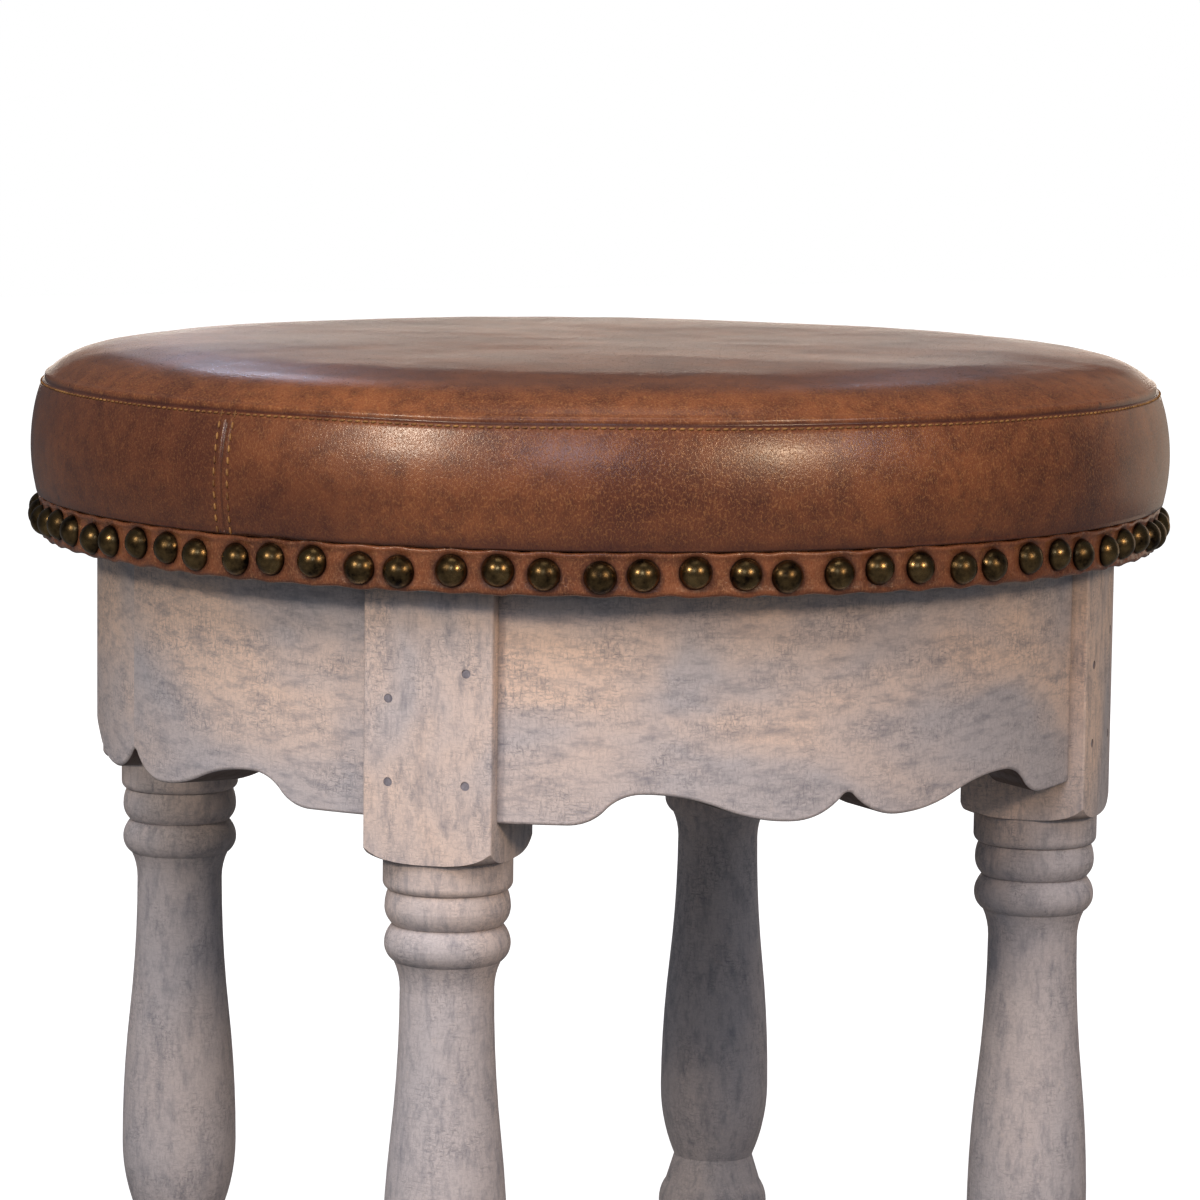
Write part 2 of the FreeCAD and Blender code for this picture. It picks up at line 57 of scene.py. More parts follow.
# Seat leather
LEATHER_THICK = 1.3 * MM
SOFT_GAP = 0.3 * MM
CREASE_Z = BAND_HIGH[2] + SOFT_GAP
CREASE_RADIUS = BAND_RADIUS + 1.4 * MM
SEAM_RADIUS = CREASE_RADIUS - 1.9 * MM
FLAT_RADIUS = BOARD_HIGH[0] + SOFT_GAP + LEATHER_THICK
WRAP_RADIUS = BOARD_HIGH[0] - 45 * MM
CROWN_DROP = 1.5 * MM
SHOULDER_POWER = 20  # how suddenly the crown turns down to the seam
BOXING_BULGE = 4.3 * MM
CREASE_ROUND = 1.2 * MM
SLACK_CROWN = 3.0 * MM
SLACK_BULGE = 2.2 * MM
HAND_WANDER = 0.55 * MM
EVENED_COLUMNS = 6  # columns of the simulation on each side that are averaged

# Sewing
JOIN_ANGLE = math.radians(-155.1)
TOPSTITCH_DROP = 0.9 * MM
TOPSTITCH_PITCH = 3.0 * MM
JOIN_ROW_OFFSET = 3.1 * MM
JOIN_PITCH = 3.8 * MM
THREAD_WIDTH = 0.9 * MM

# Wood
BEND_RADIUS = 190 * MM  # of the aprons, along which their grain is measured

# Camera, set from the photograph
CAMERA_AZIMUTH = math.radians(-27.625)
CAMERA_DISTANCE = 1.8455
CAMERA_HEIGHT = 0.5906
CAMERA_PITCH = math.radians(6.822)
CAMERA_YAW = 0.0004
CAMERA_ROLL = math.radians(0.7095)
CAMERA_LENS = 144.10


def linear(code):
    """A colour written as sRGB hex, as linear RGBA."""
    channels = [int(code[start:start + 2], 16) / 255 for start in (1, 3, 5)]
    return tuple(c / 12.92 if c <= 0.04045 else ((c + 0.055) / 1.055) ** 2.4 for c in channels) + (1.0,)


def per_mm(size):
    """Texture scale that makes a feature of that size in millimetres."""
    return 1000.0 / size


def add(tree, kind, sockets=None, **settings):
    """Adds a node: settings are its properties, sockets its inputs by name or number, as links or values."""
    made = tree.nodes.new(kind)
    for name, value in settings.items():
        setattr(made, name, value)
    for socket, value in (sockets or {}).items():
        if isinstance(value, bpy.types.NodeSocket):
            tree.links.new(value, made.inputs[socket])
        else:
            made.inputs[socket].default_value = value
    return made


def surface(name):
    """A new material, its tree, its shader and the place on the piece that its patterns read."""
    material = bpy.data.materials.new(name)
    material.use_nodes = True
    tree = material.node_tree
    place = add(tree, "ShaderNodeTexCoord").outputs["Object"]
    return material, tree, tree.nodes["Principled BSDF"], place


def finish_surface(tree, shader, colour, roughness, height, depth):
    """Links colour, roughness and a bump of that depth in metres to a shader."""
    bump = add(tree, "ShaderNodeBump", {"Height": height, "Strength": 1.0, "Distance": depth})
    tree.links.new(colour, shader.inputs["Base Color"])
    tree.links.new(roughness, shader.inputs["Roughness"])
    for normal in ("Normal", "Coat Normal"):
        tree.links.new(bump.outputs["Normal"], shader.inputs[normal])


# Materials

def glazed_leather(name, bright, brown, deep, pale):
    """Full-grain hide, dyed and glazed: blotched, with pale glinting hairlines, darker where dyed deeper and
    with painted shade in its seams.
    """
    material, tree, shader, place = surface(name)
    shader.inputs["IOR"].default_value = 1.5
    shader.inputs["Coat Weight"].default_value = 0.3
    shader.inputs["Coat Roughness"].default_value = 0.17
    hide = add(tree, "ShaderNodeTexNoise", {
        "Vector": place, "Scale": per_mm(60), "Detail": 5.0, "Roughness": 0.6})
    blotch = add(tree, "ShaderNodeTexNoise", {
        "Vector": place, "Scale": per_mm(8), "Detail": 5.0, "Roughness": 0.7})
    fleck = add(tree, "ShaderNodeTexNoise", {
        "Vector": place, "Scale": per_mm(0.9), "Detail": 2.0, "Roughness": 0.75})
    sway = add(tree, "ShaderNodeTexNoise", {"Vector": place, "Scale": per_mm(2.4), "Detail": 2.0})
    bent = add(tree, "ShaderNodeVectorMath", {
        0: sway.outputs["Color"], 1: (1.2 * MM, 1.2 * MM, 1.2 * MM), 2: place}, operation="MULTIPLY_ADD")
    upright = add(tree, "ShaderNodeMapping", {"Vector": bent.outputs[0], "Scale": (1.0, 1.0, 0.4)})
    crease = add(tree, "ShaderNodeTexVoronoi", {
        "Vector": upright.outputs[0], "Scale": per_mm(1.05)}, feature="DISTANCE_TO_EDGE")
    spot = add(tree, "ShaderNodeTexVoronoi", {
        "Vector": place, "Scale": per_mm(32), "Randomness": 1.0}, feature="F1")
    dye_and_shade = add(tree, "ShaderNodeAttribute", attribute_name="dye_and_shade")

    mottle = add(tree, "ShaderNodeMapRange", {"Value": hide.outputs[0], 1: 0.34, 2: 0.66})
    dark = add(tree, "ShaderNodeMapRange", {"Value": blotch.outputs[0], 1: 0.44, 2: 0.7, 4: 0.6})
    dots = add(tree, "ShaderNodeMapRange", {"Value": spot.outputs["Distance"], 1: 0.06, 2: 0.03, 4: 0.75})
    line = add(tree, "ShaderNodeMapRange", {"Value": crease.outputs["Distance"], 1: 0.15, 2: 0.01, 4: 0.46})
    broken = add(tree, "ShaderNodeMapRange", {"Value": fleck.outputs[0], 1: 0.42, 2: 0.62})
    # The hairlines fade where the leather is dyed deeper or carries painted shade
    undarkened = add(tree, "ShaderNodeMapRange", {"Value": dye_and_shade.outputs["Fac"], 2: 0.6, 3: 1.0, 4: 0.2})
    shown = add(tree, "ShaderNodeMath", {0: broken.outputs[0], 1: undarkened.outputs[0]}, operation="MULTIPLY")
    hair = add(tree, "ShaderNodeMath", {0: line.outputs[0], 1: shown.outputs[0]}, operation="MULTIPLY")
    # Over the brown dye: bright mottling, dark blotches and spots, deeper dye and painted shade from the
    # piece's attribute, and pale hairlines
    colour = linear(brown)
    for share, laid in (
            (mottle.outputs[0], bright), (dark.outputs[0], deep), (dots.outputs[0], deep),
            (dye_and_shade.outputs["Fac"], deep), (hair.outputs[0], pale)):
        colour = add(tree, "ShaderNodeMix", {
            0: share, 6: colour, 7: linear(laid)}, data_type="RGBA").outputs[2]

    gloss = add(tree, "ShaderNodeMapRange", {"Value": fleck.outputs[0], 1: 0.3, 2: 0.7, 3: 0.26, 4: 0.38})
    height = add(tree, "ShaderNodeMath", {0: fleck.outputs[0], 1: hair.outputs[0]}, operation="ADD")
    finish_surface(tree, shader, colour, gloss.outputs[0], height.outputs[0], 0.05 * MM)
    return material


def limed_wood(name, grain):
    """Limed and waxed oak: beige and cool grey patches, fine grey ticks both ways, brown where bare; painted
    shade in hollows and on downward faces, painted warm light higher up.
    """
    material, tree, shader, place = surface(name)
    shader.inputs["IOR"].default_value = 1.45
    shader.inputs["Specular IOR Level"].default_value = 0.35
    facing = add(tree, "ShaderNodeNewGeometry").outputs["Normal"]
    parts = add(tree, "ShaderNodeSeparateXYZ", {0: place})
    if grain == "round":
        turn = add(tree, "ShaderNodeMath", {0: parts.outputs[1], 1: parts.outputs[0]}, operation="ARCTAN2")
        along = add(tree, "ShaderNodeMath", {0: turn.outputs[0], 1: BEND_RADIUS}, operation="MULTIPLY")
        flat = add(tree, "ShaderNodeVectorMath", {0: place, 1: (1.0, 1.0, 0.0)}, operation="MULTIPLY")
        deep = add(tree, "ShaderNodeVectorMath", {0: flat.outputs[0]}, operation="LENGTH")
        ray = add(tree, "ShaderNodeVectorMath", {0: flat.outputs[0]}, operation="NORMALIZE")
        level = add(tree, "ShaderNodeVectorMath", {0: facing, 1: ray.outputs[0]}, operation="DOT_PRODUCT")
        side_tilt = add(tree, "ShaderNodeMath", {
            0: level.outputs["Value"]}, operation="ABSOLUTE").outputs[0]
        place = add(tree, "ShaderNodeCombineXYZ", {
            0: deep.outputs["Value"], 1: parts.outputs[2], 2: along.outputs[0]}).outputs[0]
        cool_end = 312 * MM
        warm_end = 356 * MM
    else:
        cool_end = 240 * MM
        warm_end = 320 * MM
        tilt = add(tree, "ShaderNodeSeparateXYZ", {0: facing})
        side_tilt = add(tree, "ShaderNodeMath", {0: tilt.outputs[2], 1: 1.3}, operation="ADD").outputs[0]
    drift = add(tree, "ShaderNodeMapping", {"Vector": place, "Scale": (1.0, 1.0, 0.55)})
    fibre = add(tree, "ShaderNodeMapping", {"Vector": place, "Scale": (1.0, 1.0, 0.36)})
    patch = add(tree, "ShaderNodeTexNoise", {
        "Vector": drift.outputs[0], "Scale": per_mm(45), "Detail": 3.0, "Roughness": 0.5, "Distortion": 0.3})
    smudge = add(tree, "ShaderNodeTexNoise", {
        "Vector": drift.outputs[0], "Scale": per_mm(13), "Detail": 4.0, "Roughness": 0.6, "Distortion": 0.3})
    streak = add(tree, "ShaderNodeTexNoise", {
        "Vector": fibre.outputs[0], "Scale": per_mm(4.0), "Detail": 4.0, "Roughness": 0.65})
    pore = add(tree, "ShaderNodeTexNoise", {
        "Vector": fibre.outputs[0], "Scale": per_mm(0.9), "Detail": 2.0, "Roughness": 0.8})
    weft = add(tree, "ShaderNodeMapping", {"Vector": place, "Scale": (0.3, 0.3, 1.0)})
    cross = add(tree, "ShaderNodeTexNoise", {
        "Vector": weft.outputs[0], "Scale": per_mm(0.9), "Detail": 2.0, "Roughness": 0.8})
    weave = add(tree, "ShaderNodeMath", {0: pore.outputs[0], 1: cross.outputs[0]}, operation="MAXIMUM")
    rub = add(tree, "ShaderNodeTexNoise", {
        "Vector": place, "Scale": per_mm(6), "Detail": 5.0, "Roughness": 0.75})
    hollow = add(tree, "ShaderNodeAmbientOcclusion", {"Distance": 7 * MM}, samples=8)

    # Painted light: the warm patches show in full above warm_end, where more light falls, and nearly all is
    # cool grey, as in shade, below cool_end
    lit_warmth = add(tree, "ShaderNodeMapRange", {"Value": parts.outputs[2], 1: cool_end, 2: warm_end, 3: 0.15})
    cast = add(tree, "ShaderNodeMapRange", {
        "Value": patch.outputs[0], 1: 0.38, 2: 0.62, 4: lit_warmth.outputs[0]})
    thin = add(tree, "ShaderNodeMapRange", {"Value": smudge.outputs[0], 1: 0.44, 2: 0.66, 3: 0.4, 4: 1.0})
    dashes = add(tree, "ShaderNodeMapRange", {"Value": weave.outputs[0], 1: 0.46, 2: 0.7, 4: 0.7})
    ticks = add(tree, "ShaderNodeMath", {0: thin.outputs[0], 1: dashes.outputs[0]}, operation="MULTIPLY")
    wipe = add(tree, "ShaderNodeMapRange", {"Value": streak.outputs[0], 1: 0.48, 2: 0.72, 4: 0.58})
    scuffs = add(tree, "ShaderNodeMapRange", {"Value": rub.outputs[0], 1: 0.6, 2: 0.74, 4: 0.4})
    # Painted shade in hollows and between parts, also standing for dark wax left in the turned grooves
    wax_and_shade = add(tree, "ShaderNodeMapRange", {"Value": hollow.outputs["AO"], 1: 0.72, 2: 0.3, 4: 0.9})
    # Bare brown on the rails' sawn top and bottom; on the uprights, painted shade on faces that look down
    bare_and_shaded = add(tree, "ShaderNodeMapRange", {"Value": side_tilt, 1: 0.55, 2: 0.3, 4: 0.9})
    # Over the cool lime: its warm cast, ticks, wiped streaks, scuffs, painted shade in hollows that stands
    # also for dark wax, and brown on bare sawn faces and as painted shade on downward faces
    colour = linear("#c2bec1")
    for share, laid in (
            (cast, "#ecd4c3"), (ticks, "#74757e"), (wipe, "#7b7d88"), (scuffs, "#dccfc6"),
            (wax_and_shade, "#4a3c36"), (bare_and_shaded, "#4d382c")):
        colour = add(tree, "ShaderNodeMix", {
            0: share.outputs[0], 6: colour, 7: linear(laid)}, data_type="RGBA").outputs[2]

    gloss = add(tree, "ShaderNodeMapRange", {"Value": streak.outputs[0], 1: 0.3, 2: 0.7, 3: 0.48, 4: 0.68})
    dips = add(tree, "ShaderNodeMath", {0: ticks.outputs[0], 1: -1.0}, operation="MULTIPLY")
    height = add(tree, "ShaderNodeMath", {0: streak.outputs[0], 1: dips.outputs[0]}, operation="ADD")
    finish_surface(tree, shader, colour, gloss.outputs[0], height.outputs[0], 0.12 * MM)
    return material


def plain_wood(name, pale, dark, across, gloss_low, gloss_high):
    """Planed softwood or peeled veneer: straight grain lines along Z or across it, a dry surface."""
    material, tree, shader, place = surface(name)
    shader.inputs["IOR"].default_value = 1.45
    fibre = add(tree, "ShaderNodeMapping", {"Vector": place, "Scale": across})
    grain = add(tree, "ShaderNodeTexNoise", {
        "Vector": fibre.outputs[0], "Scale": per_mm(3.0), "Detail": 5.0, "Roughness": 0.6, "Distortion": 0.6})
    tone = add(tree, "ShaderNodeMapRange", {"Value": grain.outputs[0], 1: 0.35, 2: 0.68})
    colour = add(tree, "ShaderNodeMix", {
        0: tone.outputs[0], 6: linear(pale), 7: linear(dark)}, data_type="RGBA")
    gloss = add(tree, "ShaderNodeMapRange", {
        "Value": grain.outputs[0], 1: 0.3, 2: 0.7, 3: gloss_low, 4: gloss_high})
    finish_surface(tree, shader, colour.outputs[2], gloss.outputs[0], grain.outputs[0], 0.15 * MM)
    return material


def aged_metal(name, bright, dull, roughness, grit):
    """Stamped or drawn metal that has aged: bright where it is rubbed, dull in between, with painted shade at
    its rim.
    """
    material, tree, shader, place = surface(name)
    shader.inputs["Metallic"].default_value = 1.0
    tarnish = add(tree, "ShaderNodeTexNoise", {
        "Vector": place, "Scale": per_mm(grit), "Detail": 4.0, "Roughness": 0.65})
    rim = add(tree, "ShaderNodeAttribute", attribute_name="rim")
    patina = add(tree, "ShaderNodeMapRange", {"Value": tarnish.outputs[0], 1: 0.35, 2: 0.68})
    # Painted shade at the rim, laid over the tarnish
    shade = add(tree, "ShaderNodeMath", {0: patina.outputs[0], 1: rim.outputs["Fac"]}, operation="MAXIMUM")
    colour = add(tree, "ShaderNodeMix", {
        0: shade.outputs[0], 6: linear(bright), 7: linear(dull)}, data_type="RGBA")
    gloss = add(tree, "ShaderNodeMapRange", {
        "Value": shade.outputs[0], 3: roughness, 4: roughness + 0.2})
    finish_surface(tree, shader, colour.outputs[2], gloss.outputs[0], tarnish.outputs[0], 0.05 * MM)
    return material


def waxed_thread(name):
    """Waxed linen thread: two plies twisted together, with a dull shine."""
    material, tree, shader, place = surface(name)
    shader.inputs["IOR"].default_value = 1.45
    ply = add(tree, "ShaderNodeTexNoise", {
        "Vector": place, "Scale": per_mm(0.5), "Detail": 2.0, "Roughness": 0.6})
    soil = add(tree, "ShaderNodeTexNoise", {
        "Vector": place, "Scale": per_mm(9), "Detail": 3.0, "Roughness": 0.6})
    dirt = add(tree, "ShaderNodeMapRange", {"Value": soil.outputs[0], 1: 0.4, 2: 0.62})
    colour = add(tree, "ShaderNodeMix", {
        0: dirt.outputs[0], 6: linear("#99703f"), 7: linear("#6a4728")}, data_type="RGBA")
    gloss = add(tree, "ShaderNodeMapRange", {"Value": ply.outputs[0], 1: 0.3, 2: 0.7, 3: 0.5, 4: 0.7})
    finish_surface(tree, shader, colour.outputs[2], gloss.outputs[0], ply.outputs[0], 0.1 * MM)
    return material


def spun_cloth(name):
    """Black spun-bonded dust cloth: a matt felt of fine fibres with rows of small bonded dots."""
    material, tree, shader, place = surface(name)
    shader.inputs["IOR"].default_value = 1.45
    shader.inputs["Sheen Weight"].default_value = 0.15
    # Real bonds are about 0.8 mm apart; they are drawn at 2.2 mm so that they show
    bonds = add(tree, "ShaderNodeTexVoronoi", {
        "Vector": place, "Scale": per_mm(2.2), "Randomness": 0.25}, feature="F1")
    fibre = add(tree, "ShaderNodeTexNoise", {
        "Vector": place, "Scale": per_mm(1.4), "Detail": 5.0, "Roughness": 0.75})
    pressed = add(tree, "ShaderNodeMapRange", {"Value": bonds.outputs["Distance"], 1: 0.35, 2: 0.2})
    tone = add(tree, "ShaderNodeMix", {
        0: fibre.outputs[0], 6: linear("#161618"), 7: linear("#333338")}, data_type="RGBA")
    colour = add(tree, "ShaderNodeMix", {
        0: pressed.outputs[0], 6: tone.outputs[2], 7: linear("#121214")}, data_type="RGBA")
    gloss = add(tree, "ShaderNodeMapRange", {"Value": pressed.outputs[0], 3: 0.85, 4: 0.6})
    height = add(tree, "ShaderNodeMath", {0: fibre.outputs[0], 1: pressed.outputs[0]}, operation="SUBTRACT")
    finish_surface(tree, shader, colour.outputs[2], gloss.outputs[0], height.outputs[0], 0.15 * MM)
    return material


def moulded_nylon(name):
    """Moulded nylon: an even brown with a faint sheen, scratched where it slides."""
    material, tree, shader, place = surface(name)
    shader.inputs["IOR"].default_value = 1.53
    scratch = add(tree, "ShaderNodeTexNoise", {
        "Vector": place, "Scale": per_mm(1.2), "Detail": 5.0, "Roughness": 0.7})
    wear = add(tree, "ShaderNodeMapRange", {"Value": scratch.outputs[0], 1: 0.5, 2: 0.7})
    colour = add(tree, "ShaderNodeMix", {
        0: wear.outputs[0], 6: linear("#3b2d25"), 7: linear("#5a4a40")}, data_type="RGBA")
    gloss = add(tree, "ShaderNodeMapRange", {"Value": wear.outputs[0], 3: 0.4, 4: 0.62})
    finish_surface(tree, shader, colour.outputs[2], gloss.outputs[0], scratch.outputs[0], 0.05 * MM)
    return material


SEAT_LEATHER = glazed_leather("glazed_saddle_leather", "#895130", "#5d3423", "#341918", "#b5804c")
BAND_LEATHER = glazed_leather("glazed_band_leather", "#8a5233", "#643a26", "#2e1913", "#b07d54")
LEG_WOOD = limed_wood("limed_oak_upright", "up")
APRON_WOOD = limed_wood("limed_oak_bent", "round")
PIN_WOOD = plain_wood("limed_pin_end_grain", "#93919a", "#6b6973", (1.0, 1.0, 1.0), 0.55, 0.75)
RAW_WOOD = plain_wood("planed_pine", "#c39a68", "#a0743f", (1.0, 1.0, 0.12), 0.6, 0.8)
PLYWOOD = plain_wood("peeled_birch_ply", "#cba87a", "#a9824f", (0.1, 1.0, 1.0), 0.6, 0.8)
BRASS = aged_metal("antiqued_brass", "#8b754f", "#1f1915", 0.23, 7.0)
STEEL = aged_metal("zinc_plated_steel", "#b9bcc0", "#7f8488", 0.3, 2.0)
THREAD = waxed_thread("waxed_linen_thread")
DUST_CLOTH = spun_cloth("spun_bonded_polypropylene")
NYLON = moulded_nylon("moulded_nylon")


# Meshes

def new_piece(name, vertices, faces, material, smooth=True):
    """A mesh object of these points and faces, in the scene."""
    mesh = bpy.data.meshes.new(name)
    mesh.from_pydata(vertices, [], faces)
    mesh.materials.append(material)
    mesh.polygons.foreach_set("use_smooth", [smooth] * len(mesh.polygons))
    mesh.update()
    piece = bpy.data.objects.new(name, mesh)
    scene.collection.objects.link(piece)
    return piece


def ring_faces(rings, columns, first=0):
    """Quads between closed rings of points that follow each other, wound to face outwards going down."""
    faces = []
    for ring in range(rings - 1):
        upper = first + ring * columns
        lower = upper + columns
        for column in range(columns):
            beside = (column + 1) % columns
            faces.append((upper + column, lower + column, lower + beside, upper + beside))
    return faces


def turn_gap(angle, other):
    """Signed difference of two angles, from -pi to pi."""
    return (angle - other + math.pi) % (2 * math.pi) - math.pi


def bell(distance, width):
    """1 at no distance, falling away smoothly over the width."""
    return math.exp(-(distance / width) ** 2)


def set_attribute(piece, name, values):
    """Gives each point of a piece a number that its material reads."""
    layer = piece.data.attributes.new(name, "FLOAT", "POINT")
    layer.data.foreach_set("value", values)


# Seat profile: one curve over the crown to the top seam and one arc down the side, as (radius, height)

def arc_between(start, end, bulge, share):
    """A point on the arc from start to end that stands out by bulge to the left of its chord."""
    chord = end - start
    half = chord.length / 2
    radius = (half ** 2 + bulge ** 2) / (2 * bulge)
    out = Vector((-chord.y, chord.x)).normalized()
    centre = (start + end) / 2 + out * (bulge - radius)
    sweep = 2 * math.asin(min(half / radius, 1.0))
    ray = (start + end) / 2 + out * bulge - centre
    turn = sweep * (0.5 - share)
    spun = Vector((
        ray.x * math.cos(turn) - ray.y * math.sin(turn),
        ray.x * math.sin(turn) + ray.y * math.cos(turn)))
    return centre + spun


def seat_profile(panel, share, crown_loss, bulge_loss):
    """A point of the seat's outline: panel is top or side, share runs outwards and down it from 0 to 1."""
    if panel == "top":
        drop = CROWN_DROP * share ** 2 + (TOP_Z - SEAM_Z - CROWN_DROP) * share ** SHOULDER_POWER
        return Vector((SEAM_RADIUS * share, TOP_Z - drop - crown_loss * (1 - share ** 4)))
    seam = Vector((SEAM_RADIUS, SEAM_Z))
    crease = Vector((CREASE_RADIUS, CREASE_Z))
    return arc_between(seam, crease, BOXING_BULGE - bulge_loss, share)


def full_and_slack(panel, share):
    """The same place on the filled cover and on the slack one that the simulation starts from."""
    full = seat_profile(panel, share, 0.0, 0.0)
    slack = seat_profile(panel, share, SLACK_CROWN, SLACK_BULGE)
    return full, slack


def panel_rows(counts):
    """Rows of a seat mesh as (panel, share), from next to the middle of the crown down to the crease."""
    rows = []
    for panel, shares in counts:
        rows.extend((panel, share) for share in shares)
    return rows


def even(count):
    """Even shares of a panel, ending at its edge."""
    return [step / count for step in range(1, count + 1)]


def swollen_seat():
    """How far each place of the slack cover swells towards its full shape, from a cloth simulation."""
    columns = 144
    frames = 20
    rows = panel_rows([("top", even(26)), ("side", even(14))])
    vertices = [(0.0, 0.0, full_and_slack("top", 0.0)[1].y)]
    held = [0.0]
    for panel, share in rows:
        radius, height = full_and_slack(panel, share)[1]
        sewn = 1.0 if share == 1.0 else 0.0
        for column in range(columns):
            angle = 2 * math.pi * column / columns
            vertices.append((radius * math.cos(angle), radius * math.sin(angle), height))
            held.append(sewn)
    base = len(vertices)
    vertices.append((0.0, 0.0, CREASE_Z))
    held.append(1.0)
    faces = [(0, 1 + column, 1 + (column + 1) % columns) for column in range(columns)]
    faces += ring_faces(len(rows), columns, 1)
    last = base - columns
    faces += [(base, last + (column + 1) % columns, last + column) for column in range(columns)]
    pad = new_piece("pad_trial", vertices, faces, SEAT_LEATHER)
    pins = pad.vertex_groups.new(name="sewn")
    for index, weight in enumerate(held):
        if weight:
            pins.add([index], weight, "REPLACE")
    cloth = pad.modifiers.new("cloth", "CLOTH")
    cloth.settings.quality = 6
    cloth.settings.mass = 0.3
    cloth.settings.tension_stiffness = 20.0
    cloth.settings.compression_stiffness = 20.0
    cloth.settings.bending_stiffness = 2.0
    cloth.settings.use_pressure = True
    cloth.settings.uniform_pressure_force = 4.0
    cloth.settings.vertex_group_mass = "sewn"
    cloth.settings.effector_weights.gravity = 0.0
    cloth.point_cache.frame_start = 1
    cloth.point_cache.frame_end = frames
    for step in range(1, frames + 1):
        scene.frame_set(step)
        moved = pad.evaluated_get(bpy.context.evaluated_depsgraph_get())
        result = [vertex.co.copy() for vertex in moved.data.vertices]
    scene.frame_set(1)
    swell = {}
    index = 1
    for panel, share in rows:
        full, slack = full_and_slack(panel, share)
        way = full - slack
        ring = []
        for column in range(columns):
            point = result[index]
            index += 1
            gone = Vector((math.hypot(point.x, point.y), point.z)) - slack
            part = gone.dot(way) / way.length_squared if way.length > 0.05 * MM else 1.0
            ring.append(min(max(part, 0.55), 1.1))
        even_ring = []
        for column in range(columns):
            beside = [ring[(column + step) % columns] for step in range(-EVENED_COLUMNS, EVENED_COLUMNS + 1)]
            even_ring.append(sum(beside) / len(beside))
        swell.setdefault(panel, []).append((share, even_ring))
    bpy.data.objects.remove(pad)
    return swell


def swell_at(swell, panel, share, angle):
    """The simulated swelling at a place, between the rings and columns that the simulation had."""
    if not swell:
        return 1.0
    rings = swell[panel]
    after = next((i for i, ring in enumerate(rings) if ring[0] >= share - 1e-9), len(rings) - 1)
    before = max(after - 1, 0)
    span = rings[after][0] - rings[before][0]
    mix = (share - rings[before][0]) / span if span else 0.0
    mix = min(max(mix, 0.0), 1.0)
    columns = len(rings[0][1])
    turn = (angle / (2 * math.pi) * columns) % columns
    low = int(turn)
    part = turn - low
    values = []
    for ring in (rings[before][1], rings[after][1]):
        values.append(ring[low % columns] * (1 - part) + ring[(low + 1) % columns] * part)
    return values[0] * (1 - mix) + values[1] * mix


def seat_columns():
    """Angles round the seat, close together at the upright join."""
    near = math.radians(2.4)
    close = 26
    rest = 500
    angles = [JOIN_ANGLE + near * step / close for step in range(-close, close + 1)]
    for step in range(1, rest):
        angles.append(JOIN_ANGLE + near + (2 * math.pi - 2 * near) * step / rest)
    return angles


def seam_relief(drop):
    """Height of the leather near the top seam, by the drop below it: folded edge, groove and stitch line."""
    edge = 0.6 * bell(drop + 2.8 * MM, 1.5 * MM)
    groove = -0.8 * bell(drop + 0.8 * MM, 0.9 * MM)
    stitch_line = -0.2 * bell(drop - TOPSTITCH_DROP, 0.7 * MM)
    return (edge + groove + stitch_line) * MM


def join_relief(aside):
    """Height of the leather near the upright join, by the distance to one side of it."""
    split = -0.8 * bell(aside, 0.45 * MM)
    folds = 0.1 * bell(abs(aside) - 1.6 * MM, 0.9 * MM)
    grooves = -0.15 * bell(abs(aside) - JOIN_ROW_OFFSET, 0.55 * MM)
    return (split + folds + grooves) * MM


def seat_wander(point):
    """Slow unevenness of stuffed leather."""
    return HAND_WANDER * noise.noise(point * 14.0) + 0.25 * HAND_WANDER * noise.noise(point * 45.0)


